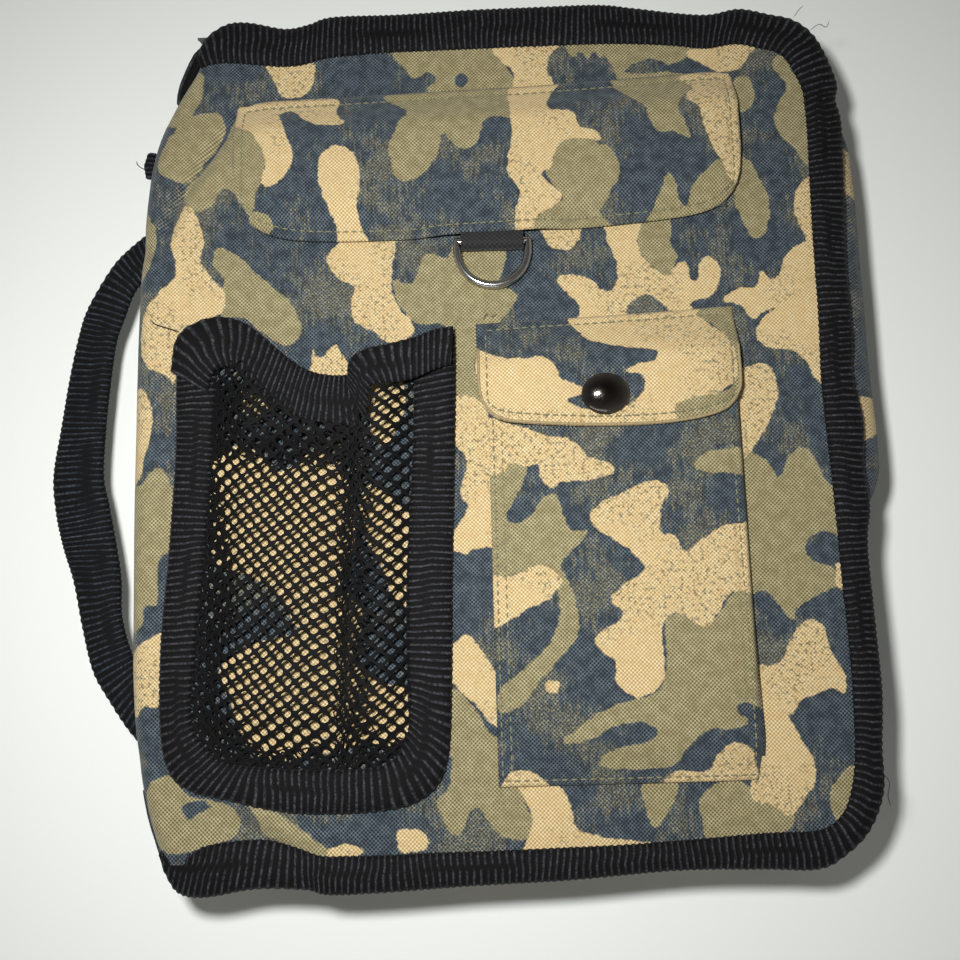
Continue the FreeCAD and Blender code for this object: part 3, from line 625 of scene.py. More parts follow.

# ---------------------------------------------------------------- the printed patches
# Each patch is a colour and a few listed points, in mm on the flat cloth. A later "blue"
# patch cuts back what is under it.


COVER_PRINT = [
    ("sand", [(-74, 123), (-59, 123), (-58, 118), (-59, 113), (-64, 110), (-69, 111), (-72, 117)]),
    ("sand", [(-46, 64), (-32, 62), (-32.5, 50), (-33, 42), (-31, 36), (-27, 31), (-26, 27),
              (-31, 24), (-36, 25), (-39, 28), (-45, 32), (-46, 38), (-45, 43), (-50, 46),
              (-54, 52), (-50, 58)]),
    ("sand", [(-100, 73), (-96, 67), (-94, 60), (-95, 54), (-91, 47), (-87, 42), (-88, 36),
              (-92, 33), (-101, 29), (-102, 8), (-104, 14), (-111, 18), (-114, 24), (-114, 33),
              (-110, 41), (-104, 47), (-103, 53), (-105, 61), (-103, 68)]),
    ("olive", [(-98, 47), (-92, 47), (-89, 44), (-92, 41), (-97, 43)]),
    ("olive", [(-89, 58), (-80, 52), (-74, 46), (-66, 39), (-63, 33), (-62, 28), (-66, 24),
               (-73, 27), (-80, 33), (-87, 34), (-90, 40), (-87, 46), (-91, 52)]),
    ("sand", [(-113, 11), (-109.5, 5), (-109, -2), (-111, -10), (-113, -18), (-119, -20),
              (-122, -4), (-119, 8)]),
    ("sand", [(-109, -68), (-104, -66), (-103, -75), (-104, -87), (-109, -88), (-112, -91),
              (-116, -88), (-116, -76), (-112, -70)]),
    ("sand", [(-58.5, 22), (-55.5, 19.5), (-51.5, 24), (-49, 21), (-47, 16), (-47, 8), (-58, 8)]),
    ("olive", [(-100, 122), (-96, 120), (-96, 113), (-99, 105), (-102, 101), (-108, 102),
               (-110, 107), (-106, 113), (-103, 118)]),
    ("olive", [(-97, 105.5), (-90, 105), (-88, 101), (-90, 95), (-96, 87), (-100, 80.5), (-106, 82),
               (-110, 86), (-109, 93), (-105, 99), (-101, 104)]),
    ("olive", [(-100, 80), (-93, 88), (-88, 95), (-84, 104), (-74, 100), (-74, 80), (-80, 71),
               (-83, 75), (-88, 78), (-92, 72), (-97, 70), (-101, 74)]),
    ("olive", [(-116, 73), (-112, 68), (-110, 64), (-111, 56), (-113, 49), (-118, 48), (-121, 60)]),
    ("olive", [(-108, -15), (-104, -17), (-102, -26), (-102, -40), (-106, -44), (-106, -57),
               (-110, -58), (-111, -64), (-118, -62), (-120, -24), (-112, -20)]),
    ("olive", [(-30, 127), (-27.5, 119), (-24, 115.5), (-20, 118), (-17, 115), (-20, 111),
               (-12, 104), (4, 106), (10, 112), (6, 120), (4, 128)]),
    ("blue", [(-11, 116), (-8.5, 117), (-6.5, 115), (-8, 112.5), (-10.5, 113)]),
    ("sand", [(3, 128), (24, 128), (22, 124), (20, 118), (22, 113), (18, 106), (8, 106), (9, 117),
              (4, 122)]),
    ("olive", [(27, 128), (29, 122), (31.5, 124), (34, 121), (36.5, 124), (38.5, 121), (40, 128)]),
    ("olive", [(39, 128), (68, 128), (67, 121), (60, 117), (72, 113), (60, 106), (48, 108),
               (44, 113), (42, 119)]),
    ("blue", [(46, 116.5), (51, 120), (57, 121), (61, 117), (54, 115.5)]),
    ("sand", [(67, 123), (75, 125), (82, 127), (91, 126), (88, 121), (84, 116), (76, 116)]),
    ("olive", [(83, 113), (88, 112.5), (89, 106), (86, 101), (81, 102)]),
    ("olive", [(80, 84), (86, 83), (88.5, 77), (91, 71), (90.5, 62), (88, 57), (84.5, 56.5),
               (82, 62), (80, 70)]),
    ("olive", [(96, 118), (100, 121), (103, 114), (108, 106), (108, 82), (104, 82), (101, 87),
               (96.5, 92), (95, 98), (97, 104), (100, 110)]),
    ("sand", [(105, 77), (110, 78), (110, 44), (104.5, 47), (102.5, 55), (100, 62), (99, 67),
              (101, 73)]),
    ("sand", [(38, 66), (49, 66), (47, 56), (50, 49), (56, 44), (60, 48.5), (63, 48), (64, 43),
              (66, 42.5), (67, 48), (70, 50.5), (73, 48), (73, 41), (69, 36.5), (63, 34.5),
              (64, 26), (28, 26), (28, 34), (24, 39), (20, 43.5), (24, 45.5), (31, 44), (35, 40),
              (38, 39.5), (40, 43), (40, 50), (37, 58)]),
    ("blue", [(43.5, 31), (44, 35), (48, 38), (52.5, 36), (56, 31)]),
    ("olive", [(49, 66), (58.5, 66), (58, 55), (60, 49.5), (56, 44), (50, 49), (47.5, 56)]),
    ("sand", [(16, 64), (28, 64), (28.5, 58), (25, 54), (20, 54.5), (17, 58)]),
    ("sand", [(74, 35), (78.5, 39), (85, 40), (86.5, 45.5), (89.5, 42), (93, 44), (97, 52),
              (110, 52), (109, 8), (102, 8), (98.5, 15), (93.5, 18.5), (87, 19), (83.5, 24),
              (86, 29), (91.5, 32.5), (87, 31.5), (83, 28.5), (80, 33)]),
    ("olive", [(95, 44), (101, 46), (104, 36), (101, 24), (95, 22), (92, 31)]),
    ("sand", [(74, 12), (80, 13), (84, 14), (87.5, 12), (89, 6), (88, 0), (84.5, -7), (80, -13),
              (76, -17), (72, -12), (72, 0)]),
    ("olive", [(72, -17), (80, -15), (85, -19), (87.5, -23), (90, -18), (93, -14), (97, -14),
               (100, -19), (102.5, -25), (109, -28), (109, -42), (99, -40), (94, -44), (96, -49),
               (103, -52), (104, -56), (96, -60), (90, -63.5), (88, -67), (84, -62), (80, -58),
               (72, -56)]),
    ("sand", [(103, -50), (107, -52), (107, -58), (102.5, -57)]),
    ("sand", [(93, -67), (97, -69), (99, -77), (102, -83), (102.5, -89), (98, -88), (92, -89.5),
              (89, -91), (86, -95), (84, -94.5), (88, -102), (91, -108), (91, -115), (88, -119),
              (83, -124), (78, -121), (72, -118), (74, -100), (74, -82), (83, -80), (86, -75),
              (89, -70)]),
    ("sand", [(3, -112), (13, -112), (18, -118), (20, -126), (30, -129), (42, -131), (40, -134),
              (6, -134), (7, -125), (6, -120)]),
    ("olive", [(-17, -85), (-10, -90), (-5, -98), (2, -102), (6, -112), (5, -119), (8, -124),
               (5, -129), (-3, -127), (-7, -122), (-9, -119), (-12, -122), (-14, -127), (-18, -125),
               (-21, -118), (-17, -112), (-17, -100)]),
    ("olive", [(40, -112), (49, -112), (50, -117), (44, -126), (41, -123)]),
    ("olive", [(57, -118), (66, -113), (74, -117), (84, -124), (80, -129), (60, -131), (57, -124)]),
    ("olive", [(97, -115), (103, -110), (107, -118), (99, -128), (95, -122)]),
    ("sand", [(-16, -73), (-11, -69), (-6, -75), (-3, -80), (-1, -90), (2, -99), (-4, -96),
              (-8, -91), (-12, -87), (-17, -81)]),
    ("sand", [(-15, 5), (-7, 5), (2, -4), (4, -20), (0, -26), (2, -42), (-6, -42), (-12, -44.5),
              (-16, -41), (-12, -34), (-10, -30), (-12, -25), (-10, -15), (-14, -8)]),
    ("olive", [(-22, 54), (-15, 52), (-12, 57), (-4, 62), (4, 58), (4, 50), (2, 43), (8, 39),
               (4, 33), (0, 26), (-3, 5), (-14, 8), (-15, 28), (-24, 30), (-28, 33), (-31, 38),
               (-32, 45), (-26, 44)]),
    ("sand", [(-33, -126), (-28, -125), (-24.5, -127), (-25, -131), (-32, -131)]),
    ("sand", [(-54, -131), (-48, -128.5), (-43, -131), (-48, -133)]),
    ("olive", [(-108, -112), (-101, -108), (-96, -113), (-90, -115), (-83, -117), (-80, -120),
               (-81, -126), (-90, -129), (-102, -130), (-107, -124)]),
    ("blue", [(-97, -117), (-92, -115.5), (-88, -117.5), (-91, -118.5), (-95, -120.5)]),
    ("olive", [(-78, -115), (-72, -118), (-66, -121), (-60, -125), (-52, -132), (-60, -133),
               (-67, -128.5), (-73, -125), (-74, -121)]),
    ("sand", [(-90, -12), (-78, -9), (-68, -17), (-58, -11), (-50, -15), (-46, -25), (-45, -40),
              (-50, -52), (-56, -60), (-62, -66), (-68, -57), (-76, -50), (-88, -45), (-91, -30)]),
    ("sand", [(-86, -77), (-76, -70), (-66, -68), (-58, -62), (-49, -55), (-43, -62), (-45, -75),
              (-38, -82), (-28, -86), (-27, -100), (-45, -101), (-60, -104), (-75, -104),
              (-84, -85)]),
    ("sand", [(-41, -22), (-32, -28), (-26, -35), (-26, -58), (-33, -58), (-37, -48), (-43, -35)]),
    ("sand", [(-40, 13), (-31, 13), (-29, 3), (-35, -9), (-40, -5)]),
    ("sand", [(-82, 9), (-76, 10), (-71, 5), (-75, 0), (-80, 3)]),
]
TOP_FLAP_PRINT = [
    ("olive", [(-88, 104), (-80, 100), (-75, 92), (-74, 84), (-77, 76), (-79, 69), (-83, 74),
               (-88, 82)]),
    ("sand", [(-88, 111), (-53, 112), (-51, 105), (-48, 100), (-56, 99.5), (-60, 101), (-64, 105),
              (-67, 106.5), (-70, 105), (-69, 101), (-66, 93), (-65, 87), (-68, 81), (-72, 78),
              (-75.5, 80), (-74, 88), (-78, 96), (-82, 100), (-87, 103)]),
    ("sand", [(-56, 88), (-52, 91.5), (-47, 90.5), (-43.5, 85), (-43, 77), (-44, 70), (-42, 63),
              (-40, 57), (-50, 57), (-51, 65), (-54.5, 73), (-56.5, 81)]),
    ("olive", [(-79, 69.5), (-74, 69), (-71.5, 65), (-75, 62), (-80, 64)]),
    ("olive", [(-35, 112), (-30, 107), (-27, 104), (-30, 99), (-33, 90), (-31, 80), (-26, 79),
               (-20, 83), (-17, 88), (-15, 95), (-12, 91.5), (-8, 89.5), (-4, 91), (-2, 98),
               (2, 101), (10, 101), (12, 114), (-20, 116)]),
    ("sand", [(8, 116), (24, 117), (21, 110), (20, 103.5), (28, 102), (30, 96), (35, 95), (37, 91),
              (31, 92), (24, 91), (21, 86), (20, 82), (17, 80), (20, 76), (23.5, 72), (20, 69),
              (15, 66), (12, 58), (8, 58), (8, 68), (9.5, 74), (6, 80), (6, 86), (7.5, 95)]),
    ("olive", [(21, 91), (26, 92.5), (33, 95), (35.5, 90), (39, 89), (42.5, 84), (42, 78),
               (38.5, 72), (36, 67), (40, 60), (14, 60), (18, 68), (23.5, 72), (18, 80), (21, 85)]),
    ("olive", [(44, 118), (76, 120), (70, 112), (66, 108), (63, 102), (65, 97), (66.5, 91),
               (61, 93.5), (55, 94.5), (52.5, 102), (48.5, 107), (44, 111)]),
    ("sand", [(66, 117), (86, 120), (86, 84), (81, 76), (77, 82), (74, 88), (71, 96), (70, 102),
              (66, 106.5), (69, 111)]),
    ("olive", [(58, 79), (61, 76), (62, 71), (64.5, 69), (67, 76), (70.5, 79), (76, 84), (80, 82),
               (83, 74), (76, 64), (52, 60), (53, 68), (56, 74)]),
]
SNAP_FLAP_PRINT = [
    ("sand", [(-9, 21), (0, 19.5), (5, 18), (10, 17.5), (14, 18.5), (19, 15), (20.5, 10.5), (25, 9),
              (27.5, 6), (22.5, 3.5), (30, 0), (42, 1.5), (46.5, 6.5), (47.5, 9), (46, 11.5),
              (41, 12.5), (46, 15), (50, 16), (52, 19), (45, 20.5), (38, 21.5), (31, 24), (28, 27),
              (27, 35), (65, 36), (66.5, 32.5), (69.7, 29.4), (74, 24.5), (76.5, 20), (77, 10),
              (73, 6.5), (69, 4), (62, 3.5), (56, 0.5), (52, -9), (-9, -9)]),
    ("olive", [(52, -9), (56, 0), (62, 4), (71, 5), (76, 9), (76, 20), (74, 25), (70, 29.5),
               (66, 33), (64, 37), (84, 37), (84, -9)]),
]
SNAP_POCKET_PRINT = [
    ("sand", [(-6, -1), (8, -5), (15, -8), (22, -9), (25.5, -12), (28, -15), (34, -17), (36, -20),
              (30, -22), (20, -23), (16, -24.5), (12.5, -21), (13, -17), (8, -17.5), (4, -16),
              (0, -19), (-6, -17)]),
    ("olive", [(-6, -19), (5, -15.5), (9, -18), (5, -27), (2, -32), (4, -35), (9, -33.5), (14, -27),
               (17.5, -27), (19.5, -33), (22, -38), (27, -38.5), (22, -44), (18.5, -49), (22, -58),
               (23, -68), (18.5, -75), (10, -84), (4, -91), (-2, -92), (-1, -85), (8, -78),
               (15, -70), (17.5, -60), (14, -51), (8, -50), (2, -51), (-6, -49)]),
    ("sand", [(-6, -52), (3, -51.5), (9, -49), (14, -49), (18.5, -53), (16, -57), (12, -60),
              (8, -61), (3.5, -64), (-6, -67)]),
    ("sand", [(27.5, -33), (31, -30), (39, -26), (45, -23.5), (50, -23.5), (53, -26), (50, -31),
              (49.5, -39), (54, -40.5), (56, -45), (62, -42), (68, -38), (74, -37), (82, -38),
              (82, -57), (70.5, -58), (66, -63.5), (62, -68), (58, -67), (54, -64), (50, -65),
              (48, -70), (48, -82), (45, -87), (40, -89), (36, -87), (33, -83), (33.5, -78),
              (28.5, -74), (28.5, -70), (35, -66), (36.5, -63), (33, -59.5), (36, -56), (42, -52),
              (44, -49.5), (40, -45), (33, -40), (29, -37)]),
    ("olive", [(49, -67), (54, -64), (60, -67.5), (66, -64), (71, -58), (82, -58), (82, -92),
               (72, -91), (69, -93), (72.5, -97), (66, -99), (62, -98.5), (57, -101), (53, -105),
               (50, -109), (40, -110), (29, -109), (28, -106), (34, -103), (42, -102), (45, -98.5),
               (40, -96), (33, -97), (24, -101), (17, -101), (20, -98), (28, -93), (36, -90),
               (46, -87), (49, -80)]),
    ("sand", [(48, -117), (50, -111), (60, -111), (62, -107), (66.5, -103), (70.5, -103),
              (74, -107), (73, -117)]),
    ("olive", [(61, -18), (65, -14.5), (72, -13.5), (80, -14), (80, -21), (68, -21), (63, -20.5)]),
    ("sand", [(12.5, -83), (16.5, -84), (15, -87), (12, -86)]),
    ("sand", [(-2, -117), (0, -111), (5, -109.5), (10, -112), (13, -117)]),
]


# ---------------------------------------------------------------- camera, floor and light


def aim(thing, spot, target, roll=0.0):
    """Puts a camera or light at a spot in mm, looking at a target."""
    spot, target = Vector(spot) * MM, Vector(target) * MM
    thing.rotation_mode = "QUATERNION"
    thing.location = spot
    turn = (target - spot).to_track_quat("-Z", "Y")
    thing.rotation_quaternion = turn @ Quaternion((0, 0, 1), roll)


CAMERA_TARGET = np.array((-5.95, -21.3, 45.0))
CAMERA_TILT, CAMERA_ROLL = math.radians(9.4), math.radians(-1.5)
CAMERA_AWAY = 300.0
camera_data = bpy.data.cameras.new("camera")
camera_data.lens = 36
camera_data.sensor_width = 36
camera_data.clip_start = 0.01
camera = bpy.data.objects.new("camera", camera_data)
scene.collection.objects.link(camera)
away = np.array((0, -math.sin(CAMERA_TILT), math.cos(CAMERA_TILT))) * CAMERA_AWAY
aim(camera, CAMERA_TARGET + away, CAMERA_TARGET, CAMERA_ROLL)
scene.camera = camera
scene.view_settings.view_transform = "Standard"


def area_light(name, spot, target, size, power, height=None):
    """A round light, or a long one where it has a height."""
    data = bpy.data.lights.new(name, "AREA")
    data.shape = "RECTANGLE" if height else "DISK"
    data.size = size
    data.size_y = height or size
    data.energy = power
    light = bpy.data.objects.new(name, data)
    scene.collection.objects.link(light)
    light.visible_camera = False
    aim(light, spot, target)


# a small light close above the case, and soft light from all round that is brighter lower down
area_light("key", CAMERA_TARGET + away + (-42, 47, 8), (-30, -20, 0), 0.03, 1.5)
area_light("low_front", (-300, -1150, 420), (0, 0, 45), 1.1, 1.2, height=0.07)
world = bpy.data.worlds.new("studio")
scene.world = world
world.use_nodes = True
sky = world.node_tree
around = sky.nodes.new("ShaderNodeTexCoord")
height_of = sky.nodes.new("ShaderNodeSeparateXYZ")
strength = sky.nodes.new("ShaderNodeMapRange")
for socket, value in (("From Min", 0.0), ("From Max", 1.0), ("To Min", 0.38), ("To Max", 0.04)):
    strength.inputs[socket].default_value = value
sky.links.new(around.outputs["Generated"], height_of.inputs[0])
sky.links.new(height_of.outputs["Z"], strength.inputs["Value"])
sky.links.new(strength.outputs[0], sky.nodes["Background"].inputs[1])
sky.nodes["Background"].inputs[0].default_value = (1.0, 0.99, 0.96, 1)

floor_look = Nodes("floor")
floor_place = floor_look.add("ShaderNodeTexCoord").outputs["Object"]
floor_tone = floor_look.mix(floor_look.noise(floor_place, 3.0, 2.0), srgb(232, 235, 230, share=1),
                            srgb(236, 239, 234, share=1))
FLOOR = floor_look.done(colour=floor_tone, rough=0.6, specular=0.2)
floor_mesh = bpy.data.meshes.new("floor")
FLOOR_REACH, FLOOR_LEVEL = 2.5, -0.0004
floor_mesh.from_pydata([(x * FLOOR_REACH, y * FLOOR_REACH, FLOOR_LEVEL)
                        for x, y in ((-1, -1), (1, -1), (1, 1), (-1, 1))], [], [(0, 1, 2, 3)])
floor_mesh.materials.append(FLOOR)
floor = bpy.data.objects.new("floor", floor_mesh)
scene.collection.objects.link(floor)

# ---------------------------------------------------------------- sizes from the CAD model

DEPTH = node_mm("front_panel")[1][2]
SPINE_LOW, SPINE_HIGH = node_mm("spine_panel")
MIDDLE = (SPINE_LOW[2] + SPINE_HIGH[2]) / 2
FOLD_ROUND = 6.0

# where the fold between cover and spine lies: (y, x), drawn in towards the ends
FOLD_LINE = through([(-146, -101), (-132, -104), (-120, -108), (-104, -111.6), (-79, -114.2),
                     (-40, -115.4), (0, -115.9), (40, -115.9), (70, -114.8), (95, -111.8),
                     (110, -106.5), (123, -99), (132, -96.5), (146, -95)])

# ---------------------------------------------------------------- cover, back and spine cloth


def valley(x, y, start, end, depth, width):
    """A soft trench along a straight run, fading at its ends."""
    away, _, share = run_distance(x, y, start, end)
    return -depth * np.exp(-((away / width) ** 2)) * (0.35 + 0.65 * np.sin(np.pi * share))


def cover_relief(x, y):
    """How far the cover's cloth stands above flat, in mm."""
    z = 0.45 * waves(x, y, 11, 62) + 0.16 * waves(x, y, 12, 19)
    z += valley(x, y, (-83, 106), (-103, 74), 2.6, 2.0)
    z += valley(x, y, (-101, 78), (-111, 54), 2.4, 2.2)
    z -= valley(x, y, (-80, 98), (-99, 70), 1.3, 4.0)
    z -= 3.2 * ease((-86 - x) / 22) * ease((y - 84) / 34)
    z -= valley(x, y, (-80, -116), (-53, -132), 1.5, 2.6)
    z += valley(x, y, (-86, -119), (-64, -131), 1.2, 3.0)
    z += valley(x, y, (-108, -98), (-98, -118), 0.8, 2.0)
    z += valley(x, y, (-112, 44), (-96, 32), 0.7, 1.6)
    z += valley(x, y, (92, 112), (101, 121), 0.7, 2.4)
    return z


RIGHT_EDGE = through([(-135, 86), (-133, 92), (-130, 99), (-125, 104), (-115, 107), (-90, 108),
                      (90, 108.6), (108, 108), (117, 105.5), (123, 102.5), (128, 97), (131, 92)])


PANEL_FOOT, PANEL_TOP = -133.5, 129.5


def panel_cloth(name, relief, step, back=False):
    """The cloth over a panel, round the fold and halfway down the spine, as one sheet."""
    rows = int(264 / step) + 1
    across = int(214 / step) + 1
    y = np.linspace(PANEL_FOOT, PANEL_TOP, rows)[:, None]
    fold = FOLD_LINE(y)
    right = RIGHT_EDGE(y)
    share = np.linspace(0, 1, across)
    left = fold + FOLD_ROUND
    x_top = left + (right - left) * share
    y_top = np.broadcast_to(y, x_top.shape)
    z_top = DEPTH + relief(x_top, y_top)
    z_left = z_top[:, :1]
    turn = np.linspace(math.pi, math.pi / 2, 8)[:-1]
    x_arc = left + FOLD_ROUND * np.cos(turn)
    z_arc = z_left - FOLD_ROUND + FOLD_ROUND * np.sin(turn)
    up = np.linspace(0, 1, 12)[:-1]
    z_side = MIDDLE + (z_left - FOLD_ROUND - MIDDLE) * up
    x_side = fold - 0.7 * np.sin(np.pi * up) + 0 * z_side
    x = np.hstack([x_side, x_arc, x_top])
    z = np.hstack([z_side, z_arc, z_top])
    y = np.broadcast_to(y, x.shape)
    if back:
        z = np.maximum(2 * MIDDLE - z, 0.15)
    gaps = np.hypot(np.diff(x, axis=1), np.diff(z, axis=1))
    run = np.hstack([0 * x[:, :1], np.cumsum(gaps, axis=1)])
    start = run[:, len(up) + len(turn)][:, None]
    u = np.where(run < start, left - (start - run), x)
    flat = np.column_stack([u.ravel(), y.ravel()])
    source = elsewhere(flat[:, 0], flat[:, 1], 43) if back else flat
    fields = printed(source, COVER_PRINT)
    fields["flat"] = flat3(flat)
    verts = np.stack([x, y, z], 2).reshape(-1, 3)
    faces = grid_faces(*x.shape, flip=back)
    piece = new_piece(name, verts, faces, CAMO, fields, closed=False)
    solid = piece.modifiers.new("cloth", "SOLIDIFY")
    solid.thickness = 0.9 * MM
    solid.offset = -1
    return piece


cover_cloth = panel_cloth("cover_cloth", cover_relief, 1.15)
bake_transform(cover_cloth)
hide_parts("front_panel", "front_stiffener")
back_cloth = panel_cloth("back_cloth", lambda x, y: 0.25 * waves(x, y, 5, 70) - 0.35, 1.8,
                         back=True)
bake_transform(back_cloth)
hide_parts("back_panel", "back_stiffener", "spine_panel", "spine_stiffener")

# ---------------------------------------------------------------- binding, gussets and zip

BINDING_STATIONS = [
    ((-97.8, 126), (-96.8, 123)), ((-95.5, 133), (-93, 123.4)), ((-88.5, 138), (-88, 123.5)),
    ((-80, 138.2), (-79.5, 122.8)), ((-68, 135.6), (-69, 121.6)), ((-60, 137), (-61, 122.3)),
    ((-52, 139.5), (-52, 124.6)), ((-30, 140), (-30, 125.6)), ((0, 141), (0, 126.2)),
    ((35, 141.5), (35, 126.8)), ((50, 139.8), (50, 126.6)), ((65, 137.6), (64, 125.4)),
    ((76, 136.8), (74, 124.2)), ((86, 138.5), (84, 125.6)), ((96, 136.2), (92, 123.8)),
    ((104, 134), (97, 122.4)), ((110, 129), (100.4, 120)), ((114, 121), (102.8, 115)),
    ((117, 110), (105.3, 108)), ((116, 104), (105.6, 102)), ((117.2, 95), (105.7, 94)),
    ((116, 70), (105, 70)), ((114.8, 50), (104.5, 50)), ((114.6, 22), (103.8, 22)),
    ((113.6, 10), (103.3, 10)), ((115.4, -5), (103.4, -5)), ((114.4, -20), (103.8, -20)),
    ((115, -33), (104, -33)), ((113.2, -45), (104.2, -45)), ((113.4, -70), (104.5, -70)),
    ((113.4, -90), (104.5, -90)), ((112, -105), (103.8, -105)), ((111.2, -118), (102.4, -115)),
    ((106, -129), (99.3, -123)), ((98, -136), (94.5, -127.4)), ((90, -139.4), (88.5, -128.8)),
    ((75, -139), (75, -129)), ((50, -138.6), (50, -130.4)), ((20, -140.4), (20, -131.4)),
    ((-10, -141.4), (-10, -131.8)), ((-50, -143), (-50, -132.2)), ((-60, -141.4), (-62, -129.4)),
    ((-75, -140.8), (-73, -127.2)), ((-90, -142.8), (-86, -127.6)), ((-98, -141.5), (-95, -129.2)),
    ((-102, -136), (-101, -129.8)), ((-103.6, -131), (-103.2, -129.6)),
]
TAPE_SECTION = [(0, 0, 0), (0, 0.35, 0.85), (0, 1.5, 1.35), (0.3, 0, 1.5), (0.55, 0, 1.55),
                (0.78, 0, 1.3), (0.93, 0, 0.7), (1, -0.1, -0.3), (1, 0, -1.3), (1, -0.6, -2.3),
                (0.86, 0, -2.9), (0.6, 0, -3.1), (0.3, 0, -3.1), (0, 0.5, -2.7), (0, 0, -1.2)]


def droop(spots, amount):
    """Height of a panel's rim: lower at its two spine corners, a little uneven elsewhere."""
    x, y = spots[:, 0], spots[:, 1]
    corner = ease((-80 - x) / 24)
    return -amount * corner + 0.35 * waves(x, y, 21, 45)


base, outward, width = paired(BINDING_STATIONS)
front_binding = sweep("front_binding_tape", base, outward, width, DEPTH + droop(base, 2.2),
                      TAPE_SECTION, TAPE, rib=(2.0, 0.34), body="cover", step=0.42)
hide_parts("front_binding")

back_stations = [((ox - 1.2 if ox > 0 else ox, -oy * 0.992), (ix, -iy))
                 for (ox, oy), (ix, iy) in BINDING_STATIONS[::-1]]
base, outward, width = paired(back_stations)
back_binding = sweep("back_binding_tape", base, outward, width, np.full(len(base), 3.4),
                     TAPE_SECTION, TAPE, rib=(2.0, 0.3), body="back", step=0.5, seed=8)
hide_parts("back_binding")

CASE_RIGHT, CASE_TOP, CASE_START, CORNER = 115.0, 142.0, -98.0, 28.0


def case_path(inset, step=2.0):
    """A line round the three open sides, from the spine's top to its bottom, and its normal."""
    right, top, radius = CASE_RIGHT - inset, CASE_TOP - inset, CORNER - inset
    turn = np.linspace(math.pi / 2, 0, 12)
    upper = np.column_stack([right - radius + radius * np.cos(turn),
                             top - radius + radius * np.sin(turn)])
    lower = upper[::-1] * (1, -1)
    spots = np.vstack([[(CASE_START, top)], upper, lower, [(CASE_START, -top)]])
    line, _ = spaced(spots, step)
    line[:, 1] -= np.sign(line[:, 1]) * 3.2 * (1 - ease((line[:, 0] - CASE_START) / 46))
    run = np.gradient(line, axis=0)
    run /= np.linalg.norm(run, axis=1, keepdims=True)
    return line, np.column_stack([-run[:, 1], run[:, 0]])


def side_bulge(line, most, low, high):
    """How far the side wall stands out: most along part of the right side."""
    x, y = line[:, 0], line[:, 1]
    there = ease((x - 100) / 8) * ease((y - low) / 30) * ease((high - y) / 34)
    return 2.4 + most * there + 0.7 * waves(x, y, 31, 40)


def wall_section(low, high):
    """A bulging side wall, 1 mm thick, between two heights."""
    up = np.linspace(0, 1, 9)
    out = np.sin(np.pi * up) ** 0.8
    outer = [(o, 0, high + (low - high) * u) for u, o in zip(up, out)]
    inner = [(o, -1.0, high + (low - high) * u) for u, o in zip(up[::-1], out[::-1])]
    return outer + inner


line, normal = case_path(5)
zeros = np.zeros(len(line))
bulge = side_bulge(line, 10.6, -48, 122)
front_gusset = sweep("front_side_cloth", line, normal, bulge, zeros,
                     wall_section(node_mm("front_gusset")[0][2], DEPTH - 1.2), CAMO, body="cover",
                     step=1.2, patches=COVER_PRINT, shift=-60)
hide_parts("front_gusset")
back_gusset = sweep("back_side_cloth", line, normal, side_bulge(line, 4.0, -90, 120), zeros,
                    wall_section(2.2, node_mm("back_gusset")[1][2]), CAMO, body="back", step=1.2,
                    patches=COVER_PRINT, shift=15)
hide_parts("back_gusset")


ZIP_INSET, TEETH_INSET, TOOTH_PITCH = 6.2, 5.5, 1.35
TOOTH_REACH, TOOTH_RADIUS, TOOTH_SIDES = 0.75, 0.47, 8
# across a tooth: share of its reach, and share of its thickness
TOOTH_SHAPE = ((-1, 0.45), (-0.5, 1), (0.5, 1), (1, 0.55))


def zip_half(half, body):
    """The zip's tape and teeth on one half of the case."""
    low, high = node_mm(f"{half}_zip_tape")
    middle = (low[2] + high[2]) / 2
    line, normal = case_path(ZIP_INSET)
    flats = [(0, 0, low[2]), (0, 0.15, middle), (0, 0, high[2]),
             (0, -0.8, high[2]), (0, -0.65, middle), (0, -0.8, low[2])]
    tape = sweep(f"{half}_zip_webbing", line, normal, np.ones(len(line)),
                 0.25 * np.sin(line[:, 1] / 9), flats, ZIP_TAPE, body=body, step=1.0)
    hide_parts(f"{half}_zip_tape")
    low, high = node_mm(f"{half}_zip_coil")
    middle, tall = (low[2] + high[2]) / 2, (high[2] - low[2]) / 2
    line, normal = case_path(TEETH_INSET, step=TOOTH_PITCH)
    run = np.column_stack([normal[:, 1], -normal[:, 0]])
    turns = np.arange(TOOTH_SIDES)[:, None] * math.tau / TOOTH_SIDES
    verts, faces = [], []
    for spot, out, along in zip(line, normal, run):
        faces += tube_faces(len(TOOTH_SHAPE), TOOTH_SIDES, len(verts))
        for share, size in TOOTH_SHAPE:
            ring = spot + out * share * TOOTH_REACH + along * np.cos(turns) * TOOTH_RADIUS * size
            verts += list(np.column_stack([ring, middle + np.sin(turns) * tall * size]))
    teeth = new_piece(f"{half}_zip_teeth", verts, faces, COIL)
    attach(teeth, body)
    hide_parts(f"{half}_zip_coil")
    low, high = node_mm(f"{half}_zip_end_tabs")
    middle = (low[2] + high[2]) / 2
    block = [(0, 0.9, low[2] + 0.4), (0, 1.2, middle), (0, 0.9, high[2] - 0.4), (0, 0, high[2]),
             (0, -0.9, high[2] - 0.4), (0, -1.1, middle), (0, -0.9, low[2] + 0.4), (0, 0, low[2])]
    for end, way in (("top", 1), ("bottom", -1)):
        edge = FOLD_LINE(way * high[1]) + 1.0
        spots = np.array([(edge, way * (high[1] - 1.6)), (edge + 6, way * (high[1] - 1.6))])
        tab = sweep(f"{half}_zip_stop_{end}", *one_way(spots, (0, way)), block, TAPE,
                    rib=(1.6, 0.2), body=body, step=0.3)
    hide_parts(f"{half}_zip_end_tabs")


zip_half("front", "cover")
zip_half("back", "back")

